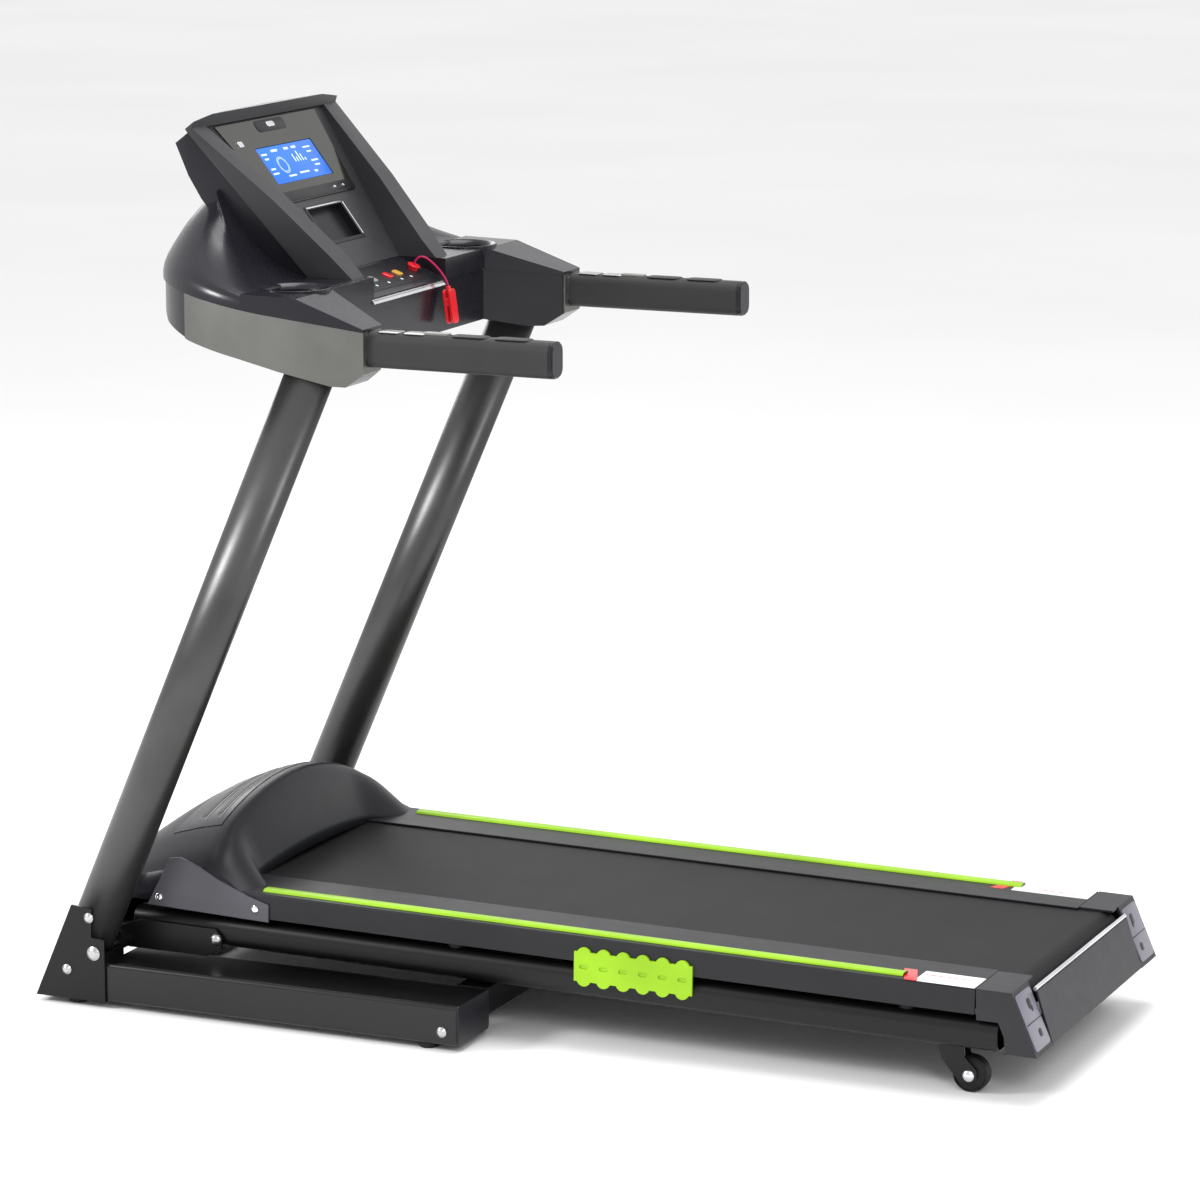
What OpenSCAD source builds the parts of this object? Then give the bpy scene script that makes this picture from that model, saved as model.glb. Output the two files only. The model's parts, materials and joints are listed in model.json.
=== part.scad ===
// Folding motorised treadmill with a desk-style console.
// The machine is laid out from the tip of its foot brackets (x = 0) towards the
// step-on end (+X), with the floor at z = 0, and is then centred on its length.
// Deck pieces are laid out from the fold axis and tilted with the deck.

/* [Overall] */
// Width over the foot brackets
base_w = 760; // [720:5:840]
// Length from the bracket tips to the rear cover
overall_len = 1540; // [1500:5:1800]
// Length of the base rails from the bracket tips
base_len = 695; // [620:5:760]

/* [Base] */
// Height of the base rails
rail_h = 60; // [50:1:60]
// Width of each base rail
rail_w = 106; // [80:1:106]
// Wall of the pressed base rails
rail_wall = 2.5; // [2:0.5:4]
// Height of the rubber feet
foot_h = 10; // [6:1:12]
// Diameter of the rubber feet
foot_d = 28; // [20:1:40]
// Plate thickness of the foot brackets
bracket_t = 4; // [3:0.5:6]

/* [Uprights] */
// Depth of the oval upright tube, front to back
upright_w = 74; // [60:1:76]
// Thickness of the oval upright tube, side to side
upright_t = 50; // [40:1:54]
// Wall of the upright tube
upright_wall = 2.5; // [2:0.5:4]
// Lean of the uprights from vertical
upright_lean = 23.5; // [20:0.5:26]

/* [Handlebars] */
// Height of the handlebar centre above the floor
handle_z = 1015; // [980:5:1080]
// Height of the grip section
grip_h = 52; // [46:1:58]
// Width of the grip section
grip_w = 40; // [36:1:46]
// Thickness of the grip sleeve
grip_wall = 3; // [2.5:0.5:4]
// Position of the rear end of the handlebars
handle_end_x = 845; // [780:5:900]

/* [Console] */
// Tilt of the display face from vertical
face_tilt = 37.5; // [30:0.5:45]
// Length of the display face from the keypad to its upper edge
face_len = 272; // [250:2:290]
// Half width of the console at its upper edge
face_top_hw = 232; // [210:2:245]
// Half width of the console at the keypad
face_low_hw = 156; // [145:1:170]
// Width of the display window
lcd_w = 178; // [140:2:190]
// Height of the display window
lcd_h = 64; // [50:1:70]
// Cup holder diameter
cup_d = 79; // [70:1:84]
// Cup holder depth
cup_depth = 68; // [50:1:68]

/* [Deck] */
// Width of the running belt
belt_w = 400; // [380:5:420]
// Thickness of the running belt
belt_t = 2.5; // [2:0.1:3]
// Thickness of the deck board
board_t = 18; // [15:1:20]
// Outer half width of the deck
deck_hw = 284; // [276:1:292]
// Height of the foot rail top above the fold axis
rail_top = 96; // [94:1:100]
// Height of the deck side tubes
tube_h = 44; // [36:1:46]
// Radius of the belt rollers
roller_r = 23; // [20:0.5:24]
// Radius of the roller shafts
shaft_r = 8; // [6:0.5:10]
// Slope of the deck down to the rear
deck_tilt = 0.8; // [0.4:0.1:1.2]
// Radius of the rear transport wheels
wheel_r = 26; // [20:1:30]

/* [Drive] */
// Radius of the motor housing
motor_r = 44; // [38:1:48]
// Length of the motor housing
motor_len = 150; // [120:5:170]
// Pitch radius of the motor pulley
motor_pulley_r = 15; // [12:0.5:18]
// Pitch radius of the front roller pulley
roller_pulley_r = 42; // [36:1:44]

/* [Fits] */
// Radial running clearance of pins and shafts
run_gap = 0.05; // [0.02:0.01:0.1]
// Gap between pieces of different bodies
body_gap = 0.5; // [0.4:0.1:1]
// Gap around push keys
key_gap = 0.4; // [0.35:0.05:0.8]

/* [Hidden] */
$fn = 48;
eps = 0.01;
big = 3000;

// Fold axis, where the deck hinges in the foot brackets
fold_x = 100;
fold_z = 84;
pivot_r = 8;
arm_t = 6;
bush_r = 13;

// Base places
base_hw = base_w / 2;
rail_z0 = foot_h;
rail_z1 = foot_h + rail_h;
rail_y1 = base_hw - bracket_t;
rail_y0 = rail_y1 - rail_w;
bracket_x1 = 118;
bracket_y0 = base_hw - 2 * bracket_t - upright_t - 2 * body_gap;
upright_y = base_hw - bracket_t - body_gap - upright_t / 2;
upright_x0 = 36;
upright_foot_z = foot_h + bracket_t + body_gap;
lean_run = tan(upright_lean);
bracket_web_z = (bracket_x1 - bracket_t - body_gap - upright_x0
    - upright_w / 2 / cos(upright_lean)) / lean_run;
front_tube_h = 24;
bolt_r = 5;
bolt_head_r = 8;
bolt_head_t = 5;
bracket_bolts = [[54, 55], [93, 138]];
rear_bolt = [base_len - 24, 30];

// Handlebar places
tube_w = grip_w - 2 * grip_wall;
tube_hh = grip_h - 2 * grip_wall;
upright_top_z = handle_z - tube_hh / 2;
horn_rear_x = 557;
plug_t = 7;
beam_x0 = 385;
beam_w = 40;
beam_h = 25;

// Push buttons in the tops of the grips, which travel down into their pockets
button_x = 660;
button_l = 40;
button_w = 14;
button_t = 3.5;
button_sink = 0.9;
button_travel = 1;
button_spare = 0.3;

// Horn: the moulded body that carries the console
horn_hw = base_hw - 2;
horn_front_x = 150;
horn_r = 215;
horn_lip_x = 448;
horn_wall = 3;
horn_top_z = handle_z + 68;
cup_x = 402;
cup_y = upright_y - 68.5;
arm_inner_y = upright_y - 32.5;
lip_corner_y = arm_inner_y - 56;
shelf_hw = 122;
shelf_tilt = 20;
shelf_x = 407;
shelf_z = handle_z + 53;

// Heights of the seam between the horn's tray and its top, from front to rear
seam = [[130, handle_z + 80], [240, handle_z + 65], [390, handle_z + 43], [580, handle_z + 23]];
// Lower edge of the tray, from rear to front
keel = [[580, handle_z - 20], [560, handle_z - 32], [528, handle_z - 54], [504, handle_z - 54],
    [421, handle_z - 38], [357, handle_z - 23], [263, handle_z - 5], [201, handle_z + 12],
    [172, handle_z + 32], [130, handle_z + 50]];
// Upper line of the horn top, from rear to front, with the cowl behind the console
crown = [[580, handle_z + 24], [horn_rear_x, handle_z + 30], [450, horn_top_z], [330, horn_top_z + 3],
    [290, horn_top_z + 27], [258, horn_top_z + 68], [236, horn_top_z + 122],
    [215, horn_top_z + 134], [190, horn_top_z + 98], [168, horn_top_z + 56],
    [156, horn_top_z + 16], [130, horn_top_z]];

// Console face frame: origin on the face at the keypad, X out of the face, Z up the face
face_x = 370;
face_z = horn_top_z;
face_floor_t = 4;
deck_gap = 0.4;
trough_top_hw = 190;
trough_low_hw = 122;
lens_z0 = 124;
lens_t = 2.5;
lcd_z0 = 157;
rest_z0 = 48;
rest_h = 61;
rest_hw = 57;
rest_depth = 14;

// Keypad, in shelf coordinates
keypad_l = 54;
keypad_hw = 116;
keypad_lip = 3;
keypad_lip_t = 0.6;
key_d = 16;
key_h = 6;
key_places = [[0, -78], [0, -46], [0, 6], [0, 38]];
safety_y = 92;

// Deck places, from the fold axis
belt_top = rail_top - 3.5;
board_top = belt_top - belt_t - body_gap;
belt_in_r = roller_r + 0.4;
roller_z = belt_top - belt_t - belt_in_r;
front_roller_x = 115;
rear_roller_x = overall_len - fold_x - 62;
deck_end_x = overall_len - fold_x;
cap_x0 = deck_end_x - 92;
side_tube_w = 46;
side_tube_z0 = 5;
tube_y0 = deck_hw - side_tube_w;
tube_x1 = cap_x0 + 34 - body_gap;
hood_x0 = -55;
hood_ridge_x = 135;
hood_ridge_z = 214;
hood_belt_x = 178;
hood_tip_x = 227;
hood_wall = 3;
foot_rail_y0 = 181;
foot_rail_z0 = 58;
rail_skin = 3;
tray_z = 6;
motor_x = 20;
motor_z = 84;
pulley_y = -222;
wheel_x = overall_len - 108;
wheel_y = 243;
wheel_w = 22;
drive_t = 3;
drive_clear_x = front_roller_x + roller_pulley_r + body_gap + drive_t + 1.5;
belt_bottom = roller_z - belt_in_r - belt_t;
cross_x = [drive_clear_x, 402, deck_end_x - 430];
cross_z0 = 8;
cross_h = belt_bottom - 7 - cross_z0;
arm_bolt = [158, 18];
shaft_block_t = 12;
shaft_block_l = 28;
strip_y = 261;
strip_w = 22;
strip_h = 4;
side_pad_x0 = 740;
side_pad_x1 = 924;
side_pad_z0 = 30;
side_pad_z1 = 74;
side_pad_lobes = 6;
cap_z0 = 7;
cap_wall = 3;
cap_inner_y = 212;
tray_x0 = hood_x0 + 4;
socket_y = 120;
socket_z = 34;
socket_depth = 22;
switch_y = 170;
controller_x0 = tray_x0 + socket_depth + 3;
controller_x1 = front_roller_x - belt_in_r - belt_t - 3;

// Strut anchors: the lower on the base, the upper on the deck's cross tube
strut_ax = 120;
strut_az = 35;
strut_bx = 475;
strut_bz = 95;
strut_len = sqrt(pow(strut_bx - strut_ax, 2) + pow(strut_bz - strut_az, 2));
strut_slope = atan2(strut_bz - strut_az, strut_bx - strut_ax);
strut_r = 11;
rod_r = 5;
strut_pin_r = 5;
strut_eye_r = 17;
strut_eye_hole = 12;

// Safety tether route, from the key over the front lip to the clip
tether_d = 3;
tether_route = [[409.8, 92, 1075.6], [411.8, 92, 1081], [415.5, 92.5, 1085.4],
    [420.5, 93.5, 1087.6], [425.8, 95, 1087], [430.5, 96.5, 1084.4],
    [434.7, 98, 1081], [438.6, 99.6, 1077.2], [442.2, 101.2, 1073.2],
    [445.6, 102.6, 1069], [448.8, 104, 1064.6], [451.8, 105.2, 1060],
    [454.6, 106.2, 1055.2], [457, 106.8, 1050.2], [459, 107, 1045]];

// ---------- shared shapes ----------

module rounded(w, h, r) {
    square([w - 2 * r, h], center = true);
    square([w, h - 2 * r], center = true);
    for (i = [-1, 1], j = [-1, 1])
        translate([i * (w / 2 - r), j * (h / 2 - r)]) circle(r);
}

module ring(w, h, r, wall) {
    difference() {
        rounded(w, h, r);
        rounded(w - 2 * wall, h - 2 * wall, r - wall);
    }
}

// Sweeps an XZ outline across the machine from y0 to y1
module across(y0, y1) {
    translate([0, y1, 0]) rotate([90, 0, 0]) linear_extrude(y1 - y0) children();
}

// Sweeps a YZ outline along the machine from x0 to x1
module along(x0, x1) {
    translate([x0, 0, 0]) rotate([90, 0, 90]) linear_extrude(x1 - x0) children();
}

module both_sides() {
    children();
    mirror([0, 1, 0]) children();
}

// A cylinder lying across the machine, from y0 to y1
module axle(x, z, r, y0, y1) {
    translate([x, y1, z]) rotate([90, 0, 0]) cylinder(h = y1 - y0, r = r);
}

// Places machine coordinates in the model's own frame
module machine() {
    translate([-overall_len / 2, 0, 0]) children();
}

// Places deck coordinates, measured from the fold axis
module deck() {
    machine() translate([fold_x, 0, fold_z]) rotate([0, deck_tilt, 0]) children();
}

// Places console face coordinates
module face() {
    machine() translate([face_x, 0, face_z]) rotate([0, -face_tilt, 0]) children();
}

// Places keypad shelf coordinates, with Z out of the shelf
module shelf() {
    machine() translate([shelf_x, 0, shelf_z]) rotate([0, shelf_tilt, 0]) children();
}

// The sloping upright, between two heights, as a solid bar of the given section
module upright_bar(z0, z1, grow) {
    intersection() {
        translate([upright_x0, upright_y, 0]) rotate([0, upright_lean, 0])
            translate([0, 0, -100]) linear_extrude(1300)
                rounded(upright_w + 2 * grow, upright_t + 2 * grow, 20 + grow);
        translate([-big / 2, 0, z0]) cube([big, big, z1 - z0]);
    }
}

// ---------- base ----------

module base_rail() {
    difference() {
        translate([bracket_x1, (rail_y0 + rail_y1) / 2, (rail_z0 + rail_z1) / 2])
            rotate([90, 0, 90]) linear_extrude(base_len - bracket_x1)
                ring(rail_w, rail_h, 7, rail_wall);
        axle(rear_bolt[0], rear_bolt[1], bolt_r, rail_y1 - 2 * rail_wall, rail_y1 + 1);
    }
}

module base_rail_right() {
    color([0.12, 0.12, 0.12]) machine() base_rail();
}

module base_rail_left() {
    color([0.12, 0.12, 0.12]) machine() mirror([0, 1, 0]) base_rail();
}

// Two cross tubes between the rails; the front one carries the strut's lower lugs
module base_crossmembers() {
    lug_y = 14;
    color([0.1, 0.1, 0.1]) machine() {
        difference() {
            union() {
                translate([60, -bracket_y0, foot_h]) cube([44, 2 * bracket_y0, front_tube_h]);
                for (s = [-1, 1]) translate([0, s * (lug_y + bracket_t / 2), 0])
                    across(-bracket_t / 2, bracket_t / 2)
                        polygon([[90, foot_h + 8], [128, foot_h + 12], [134, strut_az],
                            [128, strut_az + 12], [112, strut_az + 12], [90, foot_h + front_tube_h]]);
                axle(strut_ax, strut_az, strut_pin_r, -lug_y, lug_y);
            }
            translate([62.5, -big / 2, foot_h + 2.5])
                cube([39, big, front_tube_h - 5]);
        }
        difference() {
            translate([base_len - 50, -rail_y0, foot_h + 20]) cube([50, 2 * rail_y0, 40]);
            translate([base_len - 47.5, -big / 2, foot_h + 22.5]) cube([45, big, 35]);
        }
    }
}

module base_feet() {
    color([0.05, 0.05, 0.05]) machine() both_sides() {
        translate([58, base_hw - 26, 0]) cylinder(h = foot_h, r = foot_d / 2);
        translate([base_len - 55, base_hw - 26, 0]) cylinder(h = foot_h, r = foot_d / 2);
    }
}

// Side outline of a foot bracket
module bracket_outline() {
    polygon([[0, foot_h], [lean_run * 145, 155], [98, 152], [96, 108], [bracket_x1, 106],
        [bracket_x1, foot_h]]);
}

module foot_bracket() {
    difference() {
        across(bracket_y0, base_hw) bracket_outline();
        across(bracket_y0 + bracket_t, base_hw - bracket_t)
            polygon([[-60, foot_h + bracket_t], [60, 260], [160, 260], [160, bracket_web_z],
                [bracket_x1 - bracket_t, bracket_web_z],
                [bracket_x1 - bracket_t, foot_h + bracket_t]]);
        axle(fold_x, fold_z, pivot_r, bracket_y0 - 1, base_hw + 1);
        for (p = bracket_bolts) axle(p[0], p[1], bolt_r, bracket_y0 - 1, base_hw + 1);
    }
}

module foot_brackets() {
    color([0.08, 0.08, 0.08]) machine() both_sides() foot_bracket();
}

module domed_bolt(p, y_seat, y_end) {
    axle(p[0], p[1], bolt_r, y_end, y_seat + eps);
    translate([p[0], y_seat, p[1]]) rotate([-90, 0, 0]) {
        cylinder(h = 1.5, r = bolt_head_r);
        translate([0, 0, 1.5]) cylinder(h = bolt_head_t - 1.5, r1 = bolt_head_r, r2 = 4, $fn = 48);
    }
}

module frame_bolts() {
    color([0.75, 0.75, 0.76]) machine() both_sides() {
        for (p = bracket_bolts) domed_bolt(p, base_hw, bracket_y0);
        domed_bolt(rear_bolt, rail_y1, rail_y1 - 14);
    }
}

module pivot_bolts() {
    color([0.75, 0.75, 0.76]) machine() both_sides() {
        axle(fold_x, fold_z, pivot_r, deck_hw - 3, base_hw + eps);
        translate([fold_x, base_hw, fold_z]) rotate([-90, 0, 0]) {
            cylinder(h = 1.5, r = 11);
            translate([0, 0, 1.5]) cylinder(h = bolt_head_t - 1.5, r1 = 11, r2 = 6, $fn = 48);
        }
    }
}

// ---------- uprights and handlebars ----------

module upright() {
    difference() {
        upright_bar(upright_foot_z, upright_top_z, 0);
        upright_bar(0, 1200, -upright_wall);
        axle(fold_x, fold_z, pivot_r, bracket_y0 - 9, base_hw + 9);
        for (p = bracket_bolts) axle(p[0], p[1], bolt_r, bracket_y0 - 9, base_hw + 9);
    }
}

module upright_right() {
    color([0.26, 0.26, 0.26]) machine() upright();
}

module upright_left() {
    color([0.26, 0.26, 0.26]) machine() mirror([0, 1, 0]) upright();
}

// Cross beam that ties the two handlebar tubes inside the horn
module horn_crossbeam() {
    beam_y = upright_y - tube_w / 2;
    color([0.15, 0.15, 0.15]) machine() difference() {
        translate([beam_x0, -beam_y, handle_z - 31]) cube([beam_w, 2 * beam_y, beam_h]);
        translate([beam_x0 + 2, -big / 2, handle_z - 29]) cube([beam_w - 4, big, beam_h - 4]);
    }
}

module handlebar_tubes() {
    color([0.2, 0.2, 0.2]) machine() both_sides()
        translate([0, upright_y, handle_z]) along(beam_x0, handle_end_x - plug_t)
            ring(tube_w, tube_hh, 12, 2);
}

module handlebar_grips() {
    color([0.2, 0.2, 0.2]) machine() both_sides() difference() {
        translate([0, upright_y, handle_z]) along(horn_rear_x + 2, handle_end_x - plug_t)
            ring(grip_w, grip_h, 12 + grip_wall, grip_wall);
        translate([button_x, upright_y, handle_z + grip_h / 2])
            cube([button_l + 2 * key_gap, button_w + 2 * key_gap,
                2 * (button_sink + button_travel + button_spare)], center = true);
    }
}

module handlebar_end_plugs() {
    color([0.12, 0.12, 0.16]) machine() both_sides()
        translate([0, upright_y, handle_z]) {
            along(handle_end_x - plug_t, handle_end_x - 2) rounded(grip_w, grip_h, 15);
            along(handle_end_x - 2, handle_end_x) rounded(grip_w - 4, grip_h - 4, 13);
        }
}

// A sprung push button sunk in the top of the grip
module handle_button() {
    translate([button_x, upright_y, handle_z + grip_h / 2 - button_sink])
        linear_extrude(button_t) rounded(button_l, button_w, 5);
}

module handle_button_right() {
    color([0.3, 0.3, 0.32]) machine() handle_button();
}

module handle_button_left() {
    color([0.3, 0.3, 0.32]) machine() mirror([0, 1, 0]) handle_button();
}

// ---------- horn ----------

// Plan outline of the horn, drawn in by d
module horn_plan(d) {
    cx = horn_front_x + horn_r;
    cy = horn_hw - horn_r;
    arm_slope = (arm_inner_y - lip_corner_y) / (horn_rear_x - horn_lip_x);
    k = sqrt(1 + arm_slope * arm_slope) - arm_slope;
    intersection() {
        union() {
            for (s = [-1, 1]) translate([cx, s * cy]) circle(horn_r - d, $fn = 96);
            translate([horn_front_x + d, -cy]) square([horn_r, 2 * cy]);
        }
        translate([0, -big / 2]) square([cx + 5, big]);
    }
    polygon([[cx, -horn_hw + d], [horn_rear_x - d, -horn_hw + d],
        [horn_rear_x - d, -arm_inner_y - k * d], [horn_lip_x - d, -lip_corner_y - k * d],
        [horn_lip_x - d, lip_corner_y + k * d], [horn_rear_x - d, arm_inner_y + k * d],
        [horn_rear_x - d, horn_hw - d], [cx, horn_hw - d]]);
}

module tray_solid(d, lift) {
    intersection() {
        translate([0, 0, 800]) linear_extrude(500) horn_plan(d);
        translate([0, 0, lift]) across(-big / 2, big / 2) polygon(concat(seam, keel));
    }
}

// Material kept clear for the handlebars and uprights
module frame_space(grow) {
    both_sides() {
        upright_bar(700, upright_top_z + 2, grow);
        translate([0, upright_y, handle_z]) along(beam_x0 - 2, 900)
            rounded(tube_w + 2 * grow, tube_hh + 2 * grow, 12 + grow);
    }
    translate([beam_x0 - grow, -upright_y, handle_z - 31 - grow])
        cube([beam_w + 2 * grow, 2 * upright_y, beam_h + 2 * grow]);
}

module horn_tray() {
    color([0.15, 0.15, 0.17]) machine() difference() {
        tray_solid(horn_wall + 0.3, 0);
        tray_solid(2 * horn_wall + 0.3, horn_wall);
        translate([0, 0, horn_wall + 20]) tray_solid(2 * horn_wall + 0.3, 0);
        frame_space(0.5);
    }
}

// Silver side skin outside the tray
module side_cover() {
    intersection() {
        difference() {
            tray_solid(0, 0);
            translate([0, 0, 800]) linear_extrude(500) horn_plan(horn_wall);
            frame_space(0.5);
        }
        translate([255, arm_inner_y + 4, 800]) cube([400, 200, 500]);
    }
}

module side_cover_right() {
    color([0.42, 0.42, 0.41]) machine() side_cover();
}

module side_cover_left() {
    color([0.42, 0.42, 0.41]) machine() mirror([0, 1, 0]) side_cover();
}

// Everything above the seam: cup deck, keypad shelf and cowl, drawn in by d
module top_solid(d) {
    drop = d > 0 ? 6 : 0;
    difference() {
        intersection() {
            translate([0, 0, 900]) linear_extrude(500) horn_plan(d);
            across(-big / 2, big / 2)
                polygon(concat([for (p = seam) p - [0, drop]], [for (p = crown) p - [0, d]]));
            along(0, 700) polygon([[-horn_hw, 900], [horn_hw, 900], [horn_hw, horn_top_z + 4],
                [310 - d, horn_top_z + 10 - d], [212 - d, horn_top_z + 150],
                [-212 + d, horn_top_z + 150], [-310 + d, horn_top_z + 10 - d],
                [-horn_hw, horn_top_z + 4]]);
        }
        across(-shelf_hw - d, shelf_hw + d)
            polygon([[face_x - d, horn_top_z + 60], [face_x - d, horn_top_z - d],
                [shelf_x - 36, shelf_z + 36 * tan(shelf_tilt) - d],
                [shelf_x + 80, shelf_z - 80 * tan(shelf_tilt) - d],
                [shelf_x + 80, horn_top_z + 60]]);
    }
}

module cup_place() {
    for (s = [-1, 1]) translate([cup_x, s * cup_y, horn_top_z - cup_depth]) children();
}

// Front outline of the console, in Y and Z of the face: a trapezium with an arched top
module face_outline(grow) {
    arch_r = 2600;
    polygon([[-face_low_hw - grow, -60], [face_low_hw + grow, -60],
        [face_top_hw + grow, face_len + eps], [-face_top_hw - grow, face_len + eps]]);
    intersection() {
        translate([0, face_len + 16 - arch_r]) circle(arch_r + grow, $fn = 360);
        translate([-face_top_hw - grow, face_len]) square([2 * (face_top_hw + grow), 60]);
    }
}

// The console's rear half, in face coordinates
module back_solid(grow) {
    intersection() {
        across(-face_top_hw, face_top_hw)
            polygon([[-face_floor_t, 4 - grow], [-face_floor_t, face_len + 24],
                [-16, face_len + 22], [-31, face_len + 4], [-50 - grow, 225],
                [-58 - grow, 188], [-66 - grow, 62 - grow], [-40 - grow, 30 - grow]]);
        rotate([90, 0, 90]) translate([0, 0, -200]) linear_extrude(400) face_outline(grow - 6);
    }
}

// The console's front half with its two side wings, in face coordinates
module head_solid(grow) {
    intersection() {
        across(-face_top_hw - 10, face_top_hw + 10)
            polygon([[-face_floor_t - grow, 0], [-face_floor_t - grow, -80], [60, -80],
                [50 + grow, -44], [46 + grow, 8], [40 + grow, 62], [33 + grow, 120],
                [22 + grow, 184], [6 + grow, face_len], [20, face_len + 10],
                [13, face_len + 16], [-face_floor_t - grow, face_len + 16]]);
        rotate([90, 0, 90]) translate([0, 0, -200]) linear_extrude(400) face_outline(grow);
    }
}

// Everything above the cup deck, as a cutter in face coordinates
module above_deck(grow) {
    rotate([0, face_tilt, 0]) translate([-500, -500, -grow]) cube([1000, 1000, 600]);
}

module horn_top() {
    color([0.13, 0.13, 0.14]) difference() {
        machine() difference() {
            union() {
                difference() {
                    top_solid(0);
                    top_solid(horn_wall);
                }
                intersection() {
                    cup_place() cylinder(h = cup_depth, r = cup_d / 2 + horn_wall);
                    translate([0, 0, 900]) linear_extrude(400) horn_plan(0);
                }
            }
            cup_place() translate([0, 0, horn_wall]) cylinder(h = 200, r = cup_d / 2);
            frame_space(0.5);
        }
        face() intersection() {
            union() {
                back_solid(0.3);
                head_solid(0.3);
            }
            above_deck(0);
        }
        shelf() translate([-keypad_l / 2 - 0.3, -keypad_hw - 0.3, -horn_wall - 3])
            cube([keypad_l + 0.6, 2 * keypad_hw + 0.6, 12]);
    }
}

// ---------- console ----------

module console_back() {
    color([0.14, 0.14, 0.15]) face() difference() {
        intersection() {
            back_solid(0);
            above_deck(-deck_gap);
        }
        intersection() {
            translate([horn_wall, 0, 0]) back_solid(-horn_wall);
            translate([-200, -400, 14]) cube([400, 800, face_len - 2]);
        }
    }
}

// The trough between the wings: flat floor, sides that slope up to the rim
module trough() {
    rotate([90, 0, 90]) linear_extrude(100)
        polygon([[-trough_low_hw, -90], [trough_low_hw, -90], [trough_low_hw, 0],
            [trough_top_hw, face_len - 1], [-trough_top_hw, face_len - 1], [-trough_low_hw, 0]]);
}

module lens_outline(d) {
    polygon([[-124 + d, lens_z0 + d], [124 - d, lens_z0 + d], [160 - d, face_len - 3 - d],
        [-160 + d, face_len - 3 - d]]);
}

module console_head() {
    color([0.32, 0.32, 0.33]) face() difference() {
        intersection() {
            head_solid(0);
            above_deck(-deck_gap);
        }
        trough();
        translate([-20, -lcd_w / 2 - 2, lcd_z0 - 2]) cube([40, lcd_w + 4, lcd_h + 4]);
        translate([-20, -rest_hw - 0.2, rest_z0 - 0.2]) cube([40, 2 * rest_hw + 0.4, rest_h + 0.4]);
    }
}

module display_lens() {
    color([0.07, 0.08, 0.06]) face() difference() {
        rotate([90, 0, 90]) linear_extrude(lens_t) lens_outline(0);
        translate([-5, -lcd_w / 2 - 0.2, lcd_z0 - 0.2]) cube([20, lcd_w + 0.4, lcd_h + 0.4]);
    }
}

module display_module() {
    color([0.18, 0.44, 0.82]) face()
        translate([-14, -lcd_w / 2, lcd_z0]) cube([15.2, lcd_w, lcd_h]);
}

// Recessed tray below the display
module device_rest() {
    wall = 2;
    color([0.06, 0.06, 0.08]) face() difference() {
        union() {
            translate([-rest_depth, -rest_hw, rest_z0]) cube([rest_depth, 2 * rest_hw, rest_h]);
            translate([0, -rest_hw - 4, rest_z0 - 4]) cube([1, 2 * rest_hw + 8, rest_h + 8]);
        }
        translate([-rest_depth + wall, -rest_hw + wall, rest_z0 + wall])
            cube([40, 2 * (rest_hw - wall), rest_h - 2 * wall]);
    }
}

// Panel dropped into the shelf, resting on a thin lip all round
module keypad_panel() {
    color([0.25, 0.25, 0.24]) shelf() difference() {
        union() {
            translate([-keypad_l / 2, -keypad_hw, -horn_wall])
                cube([keypad_l, 2 * keypad_hw, horn_wall + eps]);
            translate([-keypad_l / 2 - keypad_lip, -keypad_hw - keypad_lip, 0])
                cube([keypad_l + 2 * keypad_lip, 2 * (keypad_hw + keypad_lip), keypad_lip_t]);
        }
        for (k = key_places) translate([k[0], k[1], -20])
            linear_extrude(40) rounded(key_d + 2 * key_gap, key_d + 2 * key_gap, 4 + key_gap);
        translate([0, safety_y, -20]) cylinder(h = 40, r = 8 + key_gap);
    }
}

// One sprung push key; its place is k = [along the shelf, across the shelf]
module push_key(k) {
    shelf() translate([k[0], k[1], -horn_wall])
        linear_extrude(key_h) rounded(key_d, key_d, 4);
}

module key_start() {
    color([0.2, 0.5, 0.2]) push_key(key_places[3]);
}

module key_stop() {
    color([0.82, 0.1, 0.12]) push_key(key_places[2]);
}

module key_faster() {
    color([0.5, 0.5, 0.48]) push_key(key_places[1]);
}

module key_slower() {
    color([0.5, 0.5, 0.48]) push_key(key_places[0]);
}

// Magnetic safety key: a round plug with a grip tab
module safety_key() {
    color([0.82, 0.1, 0.14]) shelf() translate([0, safety_y, -horn_wall]) {
        cylinder(h = 8, r = 8);
        translate([0, 0, 8]) cylinder(h = 3, r = 10);
    }
}

function unit(v) = v / norm(v);
function tangent(p, i) =
    unit(p[min(i + 1, len(p) - 1)] - p[max(i - 1, 0)]);

// Tube along a route of points, with a ring of eight corners at each point
module tube_along(p, r) {
    sides = 8;
    n = len(p);
    rings = [for (i = [0:n - 1])
        let (t = tangent(p, i), u = unit(cross(t, [0, 1, 0])), v = cross(t, u))
        for (k = [0:sides - 1])
            p[i] + r * (cos(k * 360 / sides) * u + sin(k * 360 / sides) * v)];
    walls = [for (i = [0:n - 2], k = [0:sides - 1])
        let (a = i * sides + k, b = i * sides + (k + 1) % sides)
        [a, b, b + sides, a + sides]];
    caps = [[for (k = [sides - 1:-1:0]) k], [for (k = [0:sides - 1]) (n - 1) * sides + k]];
    polyhedron(points = rings, faces = concat(walls, caps));
}

module safety_tether() {
    color([0.7, 0.05, 0.3]) machine() tube_along(tether_route, tether_d / 2);
}

// Clothing clip on the end of the tether: two jaws on a pin
module safety_clip() {
    e = tether_route[len(tether_route) - 1];
    color([0.85, 0.08, 0.12]) machine() translate([e[0], e[1], e[2] - 1]) rotate([0, -8, 0]) {
        translate([0, 0, -5]) cylinder(h = 5, r = 4);
        for (s = [-1, 1]) translate([s * 4.5, 0, -31])
            rotate([90, 0, 90]) linear_extrude(4, center = true) rounded(20, 52, 6);
        translate([0, 0, -24]) cube([6, 14, 10], center = true);
    }
}

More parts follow.
